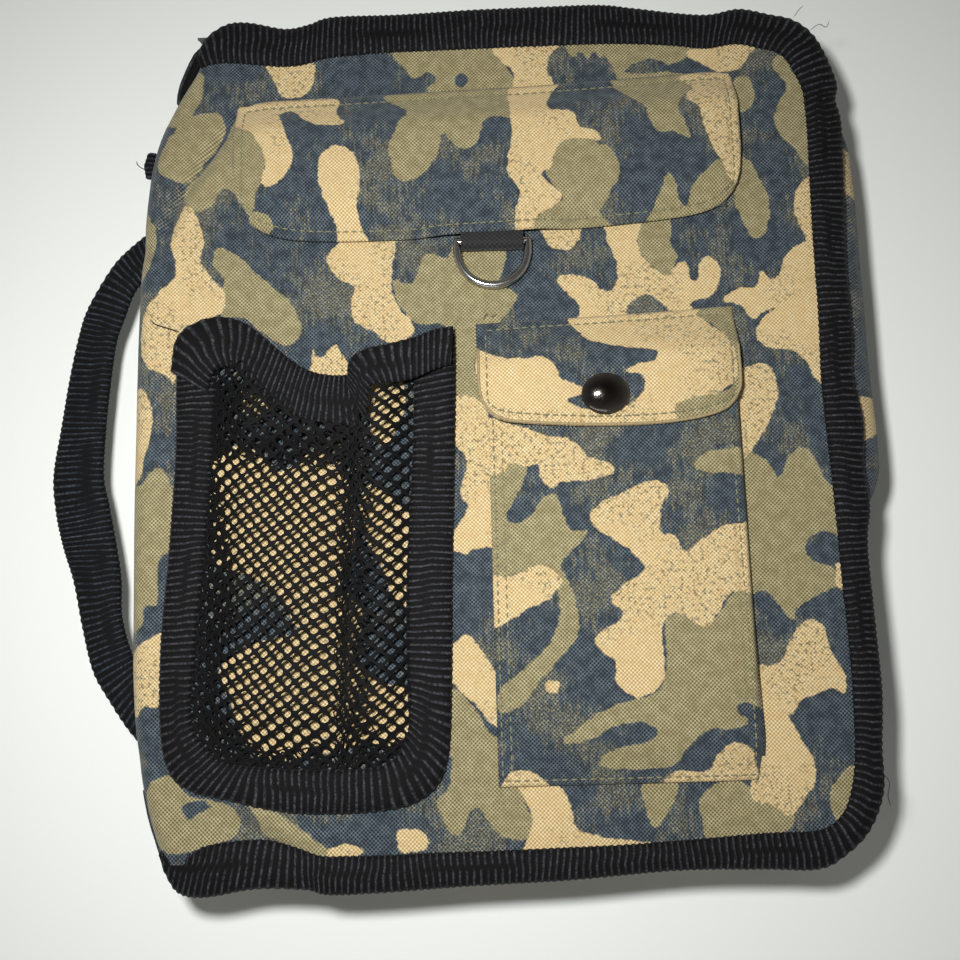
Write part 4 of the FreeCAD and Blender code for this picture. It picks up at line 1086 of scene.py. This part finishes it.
# ---------------------------------------------------------------- wide pocket and its flap

FLAP_TOP = through([(-86, 108), (-40, 109.6), (0, 111), (45, 113.2), (84, 116)])
FLAP_BOTTOM = through([(-84, 84), (-83, 75), (-81, 68.3), (-78, 64), (-73, 60.9), (-66, 58.9),
                       (-57, 58), (-40, 57.7), (-10, 58.4), (15, 59.4), (40, 61), (59, 62.8),
                       (68, 64.4), (74.3, 67), (78.6, 71), (81, 76.6), (82, 86)])
FLAP_LEFT, FLAP_RIGHT = -84.0, 82.0


def top_flap_height(x, y):
    """The wide flap's swell over the pocket, flattened lower down and at its two sides."""
    drop = FLAP_TOP(x) - y
    z = 46.3 + 5.0 * ease(drop / 15) - 1.3 * ease((drop - 33) / 16)
    z -= 2.3 * ease((drop - 39) / 11) * ease((np.abs(x) - 14) / 14)
    z -= 1.6 * (1 - ease((x - FLAP_LEFT) / 13)) + 1.2 * (1 - ease((FLAP_RIGHT - x) / 12))
    return z + 0.22 * waves(x, y, 41, 34)


def seam_dip(distance, depth=0.28, width=0.55):
    """The groove that a row of stitches pulls into the cloth."""
    return -depth * np.exp(-((distance / width) ** 2))


def make_flap(name, outline, patches, inset, finer, step=0.9):
    """A pocket flap: rounded rim, a pressed edge and a groove for its stitches."""
    top_edge, bottom_edge, left, right, height = outline
    x, y = outlined_grid(top_edge, bottom_edge, left, right, step)
    rim = np.minimum(np.minimum(x - left, right - x), y - bottom_edge(x))
    rim = np.minimum(rim, np.where(y > top_edge(x) - 0.01, 0.0, top_edge(x) - y))
    z = height(x, y) - 0.55 * (1 - ease(rim / 1.6)) + seam_dip(rim - inset)
    flap = plan_sheet(name, x, y, z, 1.05, CAMO, patches, print_scale=1 + finer,
                      print_shift=(6 * finer, 70 * finer))
    return flap


def rim_path(outline, inset, lift=0.0):
    """A 3-D line that runs down one side of a flap, along its bottom and up the other side."""
    top_edge, bottom_edge, left, right, height = outline
    xs = np.linspace(left + inset, right - inset, 160)
    low = bottom_edge(np.clip(xs, left + inset * 0.6, right - inset * 0.6)) + inset
    near = np.minimum(xs - left, right - xs)
    low = np.maximum(low, bottom_edge(xs) + inset * 0.8 + 1.5 * np.exp(-near / 4))
    down = np.linspace(top_edge(left) - 3.5, low[0], 30)
    up = np.linspace(low[-1], top_edge(right) - 3.5, 30)
    spots = np.column_stack([np.concatenate([np.full(30, left + inset), xs,
                                             np.full(30, right - inset)]),
                             np.concatenate([down, low, up])])
    return np.column_stack([spots, height(spots[:, 0], spots[:, 1]) + lift])


def seam_row(outline, drop):
    """A 3-D line that follows a flap's sewn edge at a distance."""
    edge, _, left, right, height = outline
    xs = np.linspace(left + 3, right - 3, 120)
    ys = edge(xs) - drop
    return np.column_stack([xs, ys, height(xs, ys)])


FLAP_OUTLINE = (FLAP_TOP, FLAP_BOTTOM, FLAP_LEFT, FLAP_RIGHT, top_flap_height)
top_flap = make_flap("top_flap_cloth", FLAP_OUTLINE, TOP_FLAP_PRINT, 3.0, 0.017)
flap_rows = [rim_path(FLAP_OUTLINE, 3.0), seam_row(FLAP_OUTLINE, 3.4)]
flap_stitches = bars("top_flap_stitches", flap_rows, GREEN_THREAD)
for piece in (top_flap, flap_stitches):
    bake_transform(piece)
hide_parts("top_flap", "top_flap_seam")


def pillow(name, low, high, floor_z, tall, material, body, patches=None, step=1.6, edge=7.0,
           thickness=0.9):
    """A shallow stitched-down pocket: its face rises from its sewn edges."""
    x, y = even_grid(low, high, *(int((high[k] - low[k]) / step) + 1 for k in (0, 1)))
    rim = np.minimum(np.minimum(x - low[0], high[0] - x), np.minimum(y - low[1], high[1] - y))
    z = floor_z + tall * ease(rim / edge) ** 0.7 + 0.15 * waves(x, y, 51, 30) * ease(rim / 3)
    piece = plan_sheet(name, x, y, z, thickness, material, patches)
    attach(piece, body)
    return piece


low, high = node_mm("top_pocket")
top_pocket = pillow("top_pocket_cloth", low, high, DEPTH + 1.1, 2.7, CAMO, "cover", COVER_PRINT)
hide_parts("top_pocket")
for node, name, body, z in (("top_pocket_loop_strip", "loop_strip", "cover", 49.15),
                            ("top_flap_hook_strip", "hook_strip", "wide_flap", 49.75)):
    low, high = node_mm(node)
    strip = pillow(name, low, high, z - 0.2, 0.3, LOOPS, body, edge=1.2, thickness=0.45, step=1.1)
    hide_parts(node)

# ---------------------------------------------------------------- D-ring and its tab

TAB_LOW, TAB_HIGH = node_mm("d_ring_tab")
# the tab runs round the ring's bar; its section is (y, z) in mm
BAR_Y, BAR_Z = node_mm("d_ring")[1][1] - 1.35, 47.85
bend = [(BAR_Y - 2.9 * math.cos(angle), BAR_Z + 2.75 * math.sin(angle))
        for angle in np.radians(np.linspace(80, -85, 9))]
outer = [(66, 47.6), (60.5, 49.2)] + bend + [(61, 45.3), (66, 45.2)]
inner = [(BAR_Y - (BAR_Y - y) * 0.62, BAR_Z + (z - BAR_Z) * 0.6) for y, z in bend]
inner = [(66, 46.6), (60.5, 48.0)] + inner + [(61, 46.2), (66, 46.1)]
section = [(0, y, z) for y, z in outer] + [(0, y, z) for y, z in inner[::-1]]
spots = np.array([(TAB_LOW[0], 0.0), (TAB_LOW[0] + 0.7, 0.0), (TAB_HIGH[0] - 0.7, 0.0),
                  (TAB_HIGH[0], 0.0)])
tab = sweep("d_ring_webbing", *one_way(spots, (0, 1)), section,
            woven("tab_webbing", (9, 9, 10), (46, 46, 48), 0.8, depth=0.0004), body="cover",
            step=0.45)
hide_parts("d_ring_tab")

# ---------------------------------------------------------------- snap pocket and its flap

SNAP_TOP = through([(-6.5, 29.2), (20, 30.2), (50, 31.6), (76, 33)])
SNAP_BOTTOM = through([(-6, 11.5), (-5.6, 5.5), (-4, 0.7), (-0.5, -2.7), (5, -4.7), (14, -5.7),
                       (30, -6.5), (45, -6.5), (57, -5.7), (65.5, -4.2), (71, -2.2), (74.4, 1),
                       (76.3, 6), (76.6, 13)])
SNAP_LEFT, SNAP_RIGHT = -6.0, 76.5
CAP_LOW, CAP_HIGH = node_mm("snap_cap")
CAP = (CAP_LOW + CAP_HIGH) / 2


def snap_flap_height(x, y):
    """The snap flap's swell, which slumps at both sides and is drawn down round its cap."""
    drop = SNAP_TOP(x) - y
    z = 46.3 + 6.9 * ease(drop / 17) - 0.9 * ease((drop - 30) / 8)
    slump = 3.4 * (1 - ease((x - SNAP_LEFT) / 16)) + 1.6 * (1 - ease((SNAP_RIGHT - x) / 10))
    z -= slump * ease((drop + 2) / 16)
    pull = np.hypot(x - CAP[0], y - CAP[1])
    return z - 0.5 * np.exp(-((pull / 13) ** 2)) + 0.3 * waves(x, y, 61, 26)


SNAP_OUTLINE = (SNAP_TOP, SNAP_BOTTOM, SNAP_LEFT, SNAP_RIGHT, snap_flap_height)
snap_flap = make_flap("snap_flap_cloth", SNAP_OUTLINE, SNAP_FLAP_PRINT, 2.6, 0.026, step=0.8)
hem_line = rim_path(SNAP_OUTLINE, 0.55, -0.3)[8:-8:6]
snap_hem = tube("snap_flap_piping", hem_line, 0.5, HEM, step=0.8, taper=False)
snap_rows = [rim_path(SNAP_OUTLINE, 3.0), seam_row(SNAP_OUTLINE, 2.6)]
snap_stitches = bars("snap_flap_stitches", snap_rows, GREEN_THREAD)
for piece in (snap_flap, snap_hem, snap_stitches):
    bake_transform(piece)
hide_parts("snap_flap", "snap_flap_seam")

POCKET_LEFT, POCKET_RIGHT, POCKET_FLOOR, POCKET_MOUTH = -2.8, 75.8, -113.6, 21.5


def snap_pocket_height(x, y):
    """The pocket's swell, held down under its flap near the mouth."""
    z = 46.2 + 4.0 * ease((x - POCKET_LEFT) / 15) * ease((y - POCKET_FLOOR) / 15) ** 0.8
    z -= 0.9 * ease((x - 60) / 17) * ease((60 + y) / -40)
    z += seam_dip(x - 72.4, 0.6, 0.7) + seam_dip(x - 1.3, 0.4, 0.6)
    z -= 2.7 * ease((x - POCKET_RIGHT + 1.4) / 1.4)
    z += 0.28 * waves(x, y, 71, 38)
    return np.where(y > -8, np.minimum(z, snap_flap_height(x, y) - 1.45), z)


x, y = even_grid((POCKET_LEFT, POCKET_FLOOR), (POCKET_RIGHT, POCKET_MOUTH), 82, 140)
x = x + 1.3 * ease((-60 - y) / 54) * (x - POCKET_LEFT) / 80
snap_pocket = plan_sheet("snap_pocket_cloth", x, y, snap_pocket_height(x, y), 1.0, CAMO,
                         SNAP_POCKET_PRINT, print_scale=1.014, print_shift=(0.1, 1.0))
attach(snap_pocket, "cover")
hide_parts("snap_pocket_front", "snap_pocket_gusset")


pocket_rows = []
for ends in ([(-1.4, -2), (-1.4, -112)], [(1.3, -6), (1.3, -111)], [(-1.4, -112), (76, -112)],
             [(72.4, -4), (73.5, -111)]):
    row = spaced(np.array(ends, float), 2.0)[0]
    pocket_rows.append(np.column_stack([row, snap_pocket_height(row[:, 0], row[:, 1])]))
pocket_stitches = bars("snap_pocket_stitches", pocket_rows, GREEN_THREAD, radius=0.22, body="cover")

# the cap: a shallow pressed dome with a rolled rim, tipped towards the flap's edge
DOME = [(0, 2.5), (0.2, 2.45), (0.42, 2.2), (0.62, 1.78), (0.78, 1.25), (0.9, 0.72), (0.97, 0.3),
        (1.0, -0.05), (0.985, -0.32), (0.93, -0.45), (0.8, -0.4)]
CAP_REACH, CAP_TIP, CAP_TURNS = (7.5, 6.4), math.radians(9), 72
turns = np.linspace(0, math.tau, CAP_TURNS, endpoint=False)
share, rise = np.array(DOME[1:]).T[:, :, None]
x = np.append(0, CAP_REACH[0] * share * np.cos(turns))
y = np.append(0, CAP_REACH[1] * share * np.sin(turns))
z = np.append(DOME[0][1], np.repeat(rise, CAP_TURNS, 1))
spots = np.column_stack([x, y * math.cos(CAP_TIP) - z * math.sin(CAP_TIP),
                         z * math.cos(CAP_TIP) + y * math.sin(CAP_TIP)])
faces = [(0, 1 + k, 1 + (k + 1) % CAP_TURNS) for k in range(CAP_TURNS)]
faces += grid_faces(len(share), CAP_TURNS, 1, flip=True, around=True)
faces.append(tuple(range(len(spots) - CAP_TURNS, len(spots))))
cap = new_piece("snap_cap_dome", spots + (CAP[0], CAP[1] - 0.3, CAP_HIGH[2] - DOME[0][1]), faces,
                GUNMETAL)
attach(cap, "pocket_flap")
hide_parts("snap_cap")

# the CAD nodes that are shown as they are
for name, look in (("d_ring", NICKEL), ("snap_socket", NICKEL), ("snap_stud", NICKEL),
                   ("slider_upper", BLACK_METAL), ("slider_lower", BLACK_METAL),
                   ("slider_upper_pull", BLACK_METAL), ("slider_lower_pull", BLACK_METAL)):
    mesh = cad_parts[name].data
    if not mesh.materials:
        mesh.materials.append(look)
    for index in range(len(mesh.materials)):
        mesh.materials[index] = look

# ---------------------------------------------------------------- mesh pocket

FRAME_STATIONS = [
    ((-100, 27), (-88.4, 27)), ((-101.2, 14), (-88.8, 14)), ((-100.9, -10), (-89.6, -10)),
    ((-102.2, -40), (-91.2, -40)), ((-104, -70), (-93.5, -70)), ((-103.4, -95), (-94.5, -91)),
    ((-100.5, -107), (-91, -99)), ((-94, -112.5), (-85.5, -104)), ((-84, -115), (-78, -105.8)),
    ((-72, -118), (-70, -106.8)), ((-58, -119.8), (-57, -107.6)), ((-40, -119.6), (-41, -107.4)),
    ((-28, -117.5), (-34, -105.3)), ((-20.5, -112), (-30.5, -100.5)), ((-17.2, -102), (-29, -94)),
    ((-16, -80), (-29.4, -78)), ((-15.2, -50), (-29, -50)), ((-13.8, -15), (-26.8, -15)),
    ((-12.8, 15), (-25.8, 12)), ((-12.8, 26), (-25, 24)),
]
base, outward, width = paired(FRAME_STATIONS)
mesh_frame = sweep("mesh_pocket_tape", base, outward, width,
                   DEPTH + 1.7 + 0.3 * waves(base[:, 0], base[:, 1], 81, 30),
                   [(a, b, c * 0.75) for a, b, c in TAPE_SECTION], TAPE, rib=(2.0, 0.32),
                   body="cover", step=0.42, seed=5)
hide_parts("mesh_pocket_binding")

MOUTH_LEFT = [((-103, 17), (-91.5, 10)), ((-101.5, 27.5), (-90.5, 15)), ((-95.5, 32.6), (-88, 18)),
              ((-87.5, 34.2), (-84.5, 18)), ((-79, 31.4), (-80, 15)), ((-71, 24.5), (-75, 10)),
              ((-64.5, 18.8), (-69, 4.5)), ((-58, 14.8), (-61, 0.2)), ((-51, 13.4), (-52, -1.4)),
              ((-44.5, 14), (-43.5, -2.6))]
MOUTH_RIGHT = [((-47, 9.5), (-41.5, -1.5)), ((-46.3, 17.5), (-40, 8.6)), ((-41.5, 21.4),
(-37, 10.6)),
               ((-34, 23.2), (-32, 11)), ((-26, 25.6), (-26, 12.6)), ((-20, 28.2), (-20, 15.5)),
               ((-14, 29.2), (-15, 17))]
MOUTH_SHIFT = (0.9, -2.0)
THIN_TAPE = [(a, b, c * 0.5) for a, b, c in TAPE_SECTION]
for name, stations, heights in (
        ("mouth_tape_left", MOUTH_LEFT, [(-103, 48.2), (-88, 50.2), (-70, 52.4), (-55, 53.4),
                                         (-43, 52.6)]),
        ("mouth_tape_right", MOUTH_RIGHT, [(-47, 53.6), (-42, 55), (-30, 53.0), (-20, 51.2),
                                           (-13, 50.4)])):
    base, outward, width = paired(stations)
    base = base + MOUTH_SHIFT
    rise = through(heights)
    piece = sweep(name, base, outward, width, rise(base[:, 0]), THIN_TAPE, TAPE,
                  rib=(2.0, 0.32), body="cover", step=0.42, seed=len(stations))
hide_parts("mesh_mouth_binding")


def net_height(x, y):
    """The net's sag between the pocket's tapes, with its folds."""
    side = ease((x + 93) / 16) * ease((-25 - x) / 12)
    floor_share = ease((y + 108) / 22)
    z = 46.6 + 5.2 * side * floor_share
    z += 2.2 * ease((y + 20) / 26) * side
    z += valley(x, y, (-90, -14), (-46, -9), 2.4, 3.4)
    z -= valley(x, y, (-43, -12), (-47, -96), 1.5, 2.2)
    z += valley(x, y, (-49, -14), (-53, -90), 1.0, 2.6)
    z += valley(x, y, (-86, -44), (-62, -64), 1.2, 4.0)
    return z + 0.35 * waves(x, y, 91, 18)


def net_drape(x, y):
    """Where a knot of the slack net comes to lie: drawn in along its fold, askew to its left."""
    beside = x + 44.0 - (y + 12) * 0.048
    drawn = beside * (1 - 0.5 * np.exp(-((beside / 7.5) ** 2)))
    return x - beside + drawn, y - 0.26 * np.minimum(beside + 4, 0) + 0.9 * waves(x, y, 95, 26)


# a hole's reach towards its corners and its sides, and the lattice's height over its width
HOLE_CORNER, HOLE_SIDE, NET_SQUASH = 0.68, 0.77, 0.96


def net_layer(name, low, high, pitch, tilt, lift, seed, keep=None):
    """A knitted net: a sheet of staggered rounded holes, given thickness and rounded off."""
    draw = random.Random(seed)
    c, s = math.cos(tilt), math.sin(tilt)
    middle = (np.array(low) + np.array(high)) / 2
    reach = max(high[0] - low[0], high[1] - low[1]) * 0.85 + pitch
    count = int(reach / pitch) + 1
    half = pitch / 2
    index, verts, faces, shared = {}, [], [], {}

    def placed(x, y):
        """Where a point of the flat net comes to lie."""
        return net_drape(middle[0] + x * c - y * s, middle[1] + x * s + y * c)

    def corner(i, j):
        """A lattice crossing, nudged a little."""
        if (i, j) not in index:
            dx, dy = draw.uniform(-0.22, 0.22), draw.uniform(-0.22, 0.22)
            index[i, j] = len(verts)
            verts.append((i * half + dx, j * half * NET_SQUASH + dy))
        return index[i, j]

    def halfway(a, b):
        """The point midway between two crossings."""
        key = (min(a, b), max(a, b))
        if key not in shared:
            shared[key] = len(verts)
            verts.append(((verts[a][0] + verts[b][0]) / 2, (verts[a][1] + verts[b][1]) / 2))
        return shared[key]

    for i in range(-2 * count, 2 * count + 1):
        for j in range(-2 * count, 2 * count + 1):
            if (i + j) % 2 == 0:
                continue
            x, y = placed(i * half, j * half * NET_SQUASH)
            if not (low[0] < x < high[0] and low[1] < y < high[1]):
                continue
            if keep is not None and not keep(x, y):
                continue
            ring = [corner(i + 1, j), corner(i, j + 1), corner(i - 1, j), corner(i, j - 1)]
            outer = []
            for k in range(4):
                outer += [ring[k], halfway(ring[k], ring[(k + 1) % 4])]
            centre = np.mean([verts[v] for v in ring], 0)
            hole = []
            for k, v in enumerate(outer):
                share = (HOLE_SIDE if k % 2 else HOLE_CORNER) + draw.uniform(-0.03, 0.03)
                spot = centre + (np.array(verts[v]) - centre) * share
                hole.append(len(verts))
                verts.append(tuple(spot))
            for k in range(8):
                n = (k + 1) % 8
                faces.append((outer[k], outer[n], hole[n], hole[k]))
    x, y = placed(*np.array(verts).T)
    z = net_height(x, y) + lift
    piece = new_piece(name, np.column_stack([x, y, z]), faces, NET, closed=False)
    solid = piece.modifiers.new("strands", "SOLIDIFY")
    solid.thickness = 0.5 * MM
    solid.offset = 0
    rounded = piece.modifiers.new("rounded", "SUBSURF")
    rounded.levels = rounded.render_levels = 1
    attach(piece, "cover")
    return piece


MOUTH_EDGE = through([(-95, 12), (-84, 16), (-75, 8), (-69, 3), (-61, -1), (-50, -3), (-44, -2),
                      (-41, 6), (-36, 9), (-26, 12), (-20, 15)])
NET_LOW, NET_HIGH = (-95.0, -109.0), (-25.0, 18.0)
net = net_layer("mesh_net_strands", NET_LOW, NET_HIGH, 4.75, 0.0, 0.0, 4,
                lambda x, y: y < MOUTH_EDGE(x) + 4)
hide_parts("mesh_net")
# the area is its thread's alone: the holes take up HOLE_CORNER * HOLE_SIDE of the net
folds = [
    ("mesh_net_gather_left", (-95, -108), (-82, 14), 3.9, 0.5, -0.9,
     lambda x, y: x < -84.5 + 3.2 * math.sin(y / 11) and y < 12),
    ("mesh_net_gather_left_low", (-95, -108), (-86, 6), 3.4, -0.3, -1.7,
     lambda x, y: x < -88 + 2 * math.sin(y / 7)),
    ("mesh_net_gather_bottom", (-92, -109), (-27, -96), 3.9, 0.3, -0.9,
     lambda x, y: y < -100.5 + 2.2 * math.sin(x / 9)),
    ("mesh_net_gather_corner", (-93, -107), (-62, -80), 3.3, 0.85, -0.6,
     lambda x, y: y < -97 - 0.55 * (x + 76) + 2 * math.sin(x / 5)),
    ("mesh_net_gather_bottom_low", (-80, -108), (-27, -99), 3.2, -0.2, -1.6,
     lambda x, y: y < -102.5 + 1.6 * math.sin(x / 6)),
    ("mesh_net_fold_top", (-92, -18), (-44, 12), 4.2, 0.42, -1.3,
     lambda x, y: y < MOUTH_EDGE(x) + 2 and y > -11 - 5 * math.sin((x + 92) / 26)),
    ("mesh_net_fold_middle", (-50, -98), (-40, -4), 4.0, -0.35, -1.2, None),
]
for number, (name, low, high, pitch, tilt, lift, keep) in enumerate(folds):
    net_layer(name, low, high, pitch, tilt, lift, 20 + number, keep)

# ---------------------------------------------------------------- handle and spine details

HANDLE_LOW, HANDLE_HIGH = node_mm("handle_strap")
handle_z = (HANDLE_LOW[2] + HANDLE_HIGH[2]) / 2
HANDLE_STATIONS = [
    ((-117.5, 75.5), (-114.5, 63.5)), ((-126.3, 67.7), (-120.5, 57)), ((-132.5, 60.5),
    (-124.5, 51)),
    ((-140, 46.7), (-127.5, 42.5)), ((-143.1, 36.6), (-130.2, 34)), ((-145.8, 21.3), (-131.7, 21)),
    ((-147.9, 3.8), (-132.8, 4)), ((-149.6, -12.2), (-132.9, -12.6)),
    ((-148.1, -24.7), (-130.6, -22.5)), ((-144.9, -37), (-127.6, -36)),
    ((-141.1, -48.2), (-125.6, -47.5)), ((-137.7, -63.5), (-125, -60)),
    ((-133.8, -77.6), (-121.7, -71.5)), ((-128.1, -87.2), (-117.8, -79.5)),
    ((-122, -95.8), (-114.8, -86.5)), ((-115.5, -103), (-112.8, -92)),
]
base, way, width = paired(HANDLE_STATIONS)
share = np.linspace(0, 1, len(base))
WEB_SECTION = [(0, 0, 0), (0, 0.5, 1.0), (0, 2.2, 1.5), (0.5, 0, 1.7), (1, -2.2, 1.5),
               (1, -0.5, 1.0), (1, 0, 0), (1, -0.5, -1.0), (1, -2.2, -1.5), (0.5, 0, -1.7),
               (0, 2.2, -1.5), (0, 0.5, -1.0)]
handle = sweep("handle_webbing", base, way, width, handle_z + 0.5 * np.sin(share * 13),
               WEB_SECTION, WEBBING, rib=(1.9, 0.34), step=0.42, seed=11)
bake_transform(handle)
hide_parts("handle_strap")

ANCHOR_LOW, ANCHOR_HIGH = node_mm("handle_anchors")
low, high = ANCHOR_LOW[2], ANCHOR_HIGH[2]
face = [(0, 0, low + 0.4), (0, 1.1, low + 0.2), (0, 1.4, low + 2), (0, 1.5, (low + high) / 2),
        (0, 1.4, high - 2), (0, 1.1, high - 0.2), (0, 0, high - 0.4)]
anchor_rows = []
for name, middle in (("upper", 57.0), ("lower", -92.0)):
    ys = np.linspace(middle - 11, middle + 11, 8)
    spots = np.column_stack([FOLD_LINE(ys) - 0.2, ys])
    anchor = sweep(f"handle_anchor_{name}", *one_way(spots, (-1.0, 0.0)), face, WEBBING,
                   rib=(1.9, 0.3), body="spine", step=0.42)
    x = FOLD_LINE(middle) - 2.0
    corners = [(x, middle + a, (low + high) / 2 + b)
               for a, b in ((-8.5, -6), (8.5, -6), (8.5, 6), (-8.5, 6), (-8.5, -6), (8.5, 6))]
    anchor_rows += [np.array([a, b]) for a, b in zip(corners, corners[1:])]
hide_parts("handle_anchors")
bars("handle_anchor_stitches", anchor_rows, BLACK_THREAD, radius=0.3, lift=0.1, body="spine")


def spine_end(name, way, proud):
    """The tape over the spine's end, standing proud of the cloth near the top corner."""
    ys = np.array([113.0, 116, 120, 124, 128, 131.5, 134, 135, 134.5])
    outs = np.array([0.4, 2.0, 3.6, 4.2, 4.0, 3.0, 1.2, -4.0, -9.0]) * proud
    z = np.linspace(4.0, 38.5, 24)[:, None]
    belly = 0.8 + 0.2 * np.sin(np.pi * (z - 4) / 36)
    line_x = FOLD_LINE(way * ys) - 0.9
    x = line_x - np.where(outs > 0, outs * belly, outs)
    y = np.broadcast_to(way * ys, x.shape)
    top = np.stack([x, y, np.broadcast_to(z, x.shape)], 2)
    flat = np.column_stack([y.ravel(), top[..., 2].ravel()])
    piece = closed_sheet(name, top, 1.0, flat, TAPE, facing=(-1, 0, 0))
    # the crest field places the tape's painted highlight lines; this tape has no ribs of its own
    crest = piece.data.attributes.new("crest", "FLOAT", "POINT")
    crest.data.foreach_set("value", np.tile(0.5 + 0.5 * np.cos(flat[:, 1] * 2.6), 2))
    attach(piece, "spine")


spine_end("spine_end_tape_top", 1, 1.3)
spine_end("spine_end_tape_bottom", -1, 0.12)

low, high = node_mm("spine_lining")
y, z = even_grid((low[1] + 1, low[2]), (high[1] - 1, high[2]), 130, 24)
x = FOLD_LINE(y) + 4.0 + 0.25 * waves(y, z, 101, 30)
inner_spine = closed_sheet("spine_lining_cloth", np.stack([x, y, z], 2), 0.7,
                           np.column_stack([y.ravel(), z.ravel()]), LINING, facing=(1, 0, 0))
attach(inner_spine, "spine")
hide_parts("spine_lining")

stub = np.array([(-113.6, 86.5), (-113.4, 90.5), (-112.8, 95)])
sweep("spine_webbing_stub", *one_way(stub, (-1.0, 0.0), (2.6, 3.6, 3.0), 37.5),
      [(a, b * 0.4, c * 0.7) for a, b, c in WEB_SECTION], WEBBING, rib=(1.6, 0.2), body="spine",
      step=0.35)
loose_threads = [
    ("loose_thread_spine", "spine", 0.17, [(-115, 88.5, 38), (-117.5, 89.5, 39), (-119, 91, 38.5),
                                          (-119.8, 93, 37)]),
    ("loose_thread_left", "cover", 0.2, [(-101, 29.2, 46.2), (-105, 30.5, 46.3),
                                         (-108.5, 31.8, 46.1), (-110.5, 33.4, 46)]),
    ("loose_thread_corner_a", "cover", 0.1, [(104, 134, 46), (106, 136.5, 47), (107.5, 138, 46.4)]),
    ("loose_thread_corner_b", "cover", 0.1, [(109, 129, 46), (112, 130.6, 47), (114.5, 129.8, 46.6),
                                             (116, 132.4, 46)]),
    ("loose_thread_low", "cover", 0.12, [(110.5, -112, 45.5), (112.4, -115, 46.5),
                                         (111.8, -119, 46.2), (112.8, -122, 45)]),
    ("loose_thread_snap", "cover", 0.16, [(-4, 30.6, 46.4), (-2.4, 32.4, 47.2), (-1, 31.4, 47),
                                          (0.6, 32.2, 46.4)]),
]
for name, body, radius, spots in loose_threads:
    look = GREEN_THREAD if name.endswith("snap") else BLACK_THREAD
    tube(name, spots, radius, look, body=body, step=0.4)

# ---------------------------------------------------------------- inside

for half, body, facing in (("back", "back", 1), ("front", "cover", -1)):
    low, high = node_mm(f"{half}_lining")
    x, y = even_grid((low[0], low[1] + 0.5), (high[0], high[1] - 0.5), 150, 170)
    level = high[2] if facing > 0 else low[2]
    past_x, past_y = np.maximum(x - 86, 0), np.maximum(np.abs(y) - 113, 0)
    corner = np.hypot(past_x, past_y)
    pull = np.maximum(corner - 21.5, 0) / np.maximum(corner, 1e-6)
    edge = FOLD_LINE(y) + 4.5
    x = edge + (x - pull * past_x - low[0]) * (high[0] - edge) / (high[0] - low[0])
    y = y - pull * past_y * np.sign(y)
    z = level - facing * (0.25 + 0.2 * waves(x, y, 111, 48))
    lining = plan_sheet(f"{half}_lining_cloth", x, y, z, 0.7, LINING, facing=(0, 0, facing))
    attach(lining, body)
    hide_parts(f"{half}_lining")

SLEEVE_LOW, SLEEVE_HIGH = node_mm("stick_sleeve")
CHANNELS = 4
channel = (SLEEVE_HIGH[0] - SLEEVE_LOW[0]) / CHANNELS


def sleeve_height(x, y):
    """Four soft channels side by side, closed at the foot."""
    share = ((x - SLEEVE_LOW[0]) / channel) % 1.0
    hump = np.sin(np.pi * np.clip(share, 0, 1)) ** 0.42
    foot = 0.2 + 0.8 * ease((y - SLEEVE_LOW[1]) / 22)
    tall = SLEEVE_HIGH[2] - SLEEVE_LOW[2] - 1.6
    return SLEEVE_LOW[2] + 0.9 + tall * hump * foot + 0.35 * waves(x, y, 121, 30) * hump


x, y = even_grid(SLEEVE_LOW, SLEEVE_HIGH, 181, 120)
sleeve = plan_sheet("stick_sleeve_cloth", x, y, sleeve_height(x, y), 0.8, LINING)
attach(sleeve, "back")
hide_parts("stick_sleeve")
low, high = node_mm("sleeve_hem")
xs = np.linspace(low[0], high[0], 240)
spots = np.column_stack([xs, np.full(240, low[1])])
heights = sleeve_height(xs, spots[:, 1]) - 0.35
hem = sweep("sleeve_hem_tape", *one_way(spots, (0.0, 1.0), high[1] - low[1], heights),
            [(0, 0, 0), (0, 0.6, 0.7), (0.5, 0, 0.9), (1, -0.6, 0.7), (1, 0, 0), (1, -0.6, -0.6),
             (0.5, 0, -0.8), (0, 0.6, -0.6)], TAPE, rib=(2.0, 0.2), body="back", step=0.45)
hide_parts("sleeve_hem")
seams = []
for k in range(1, CHANNELS):
    across = SLEEVE_LOW[0] + k * channel
    ys = np.linspace(SLEEVE_LOW[1] + 4, SLEEVE_HIGH[1] - 10, 90)
    xs = np.full(90, across)
    seams.append(np.column_stack([xs, ys, sleeve_height(xs, ys)]))
bars("sleeve_stitches", seams, BLACK_THREAD, body="back")
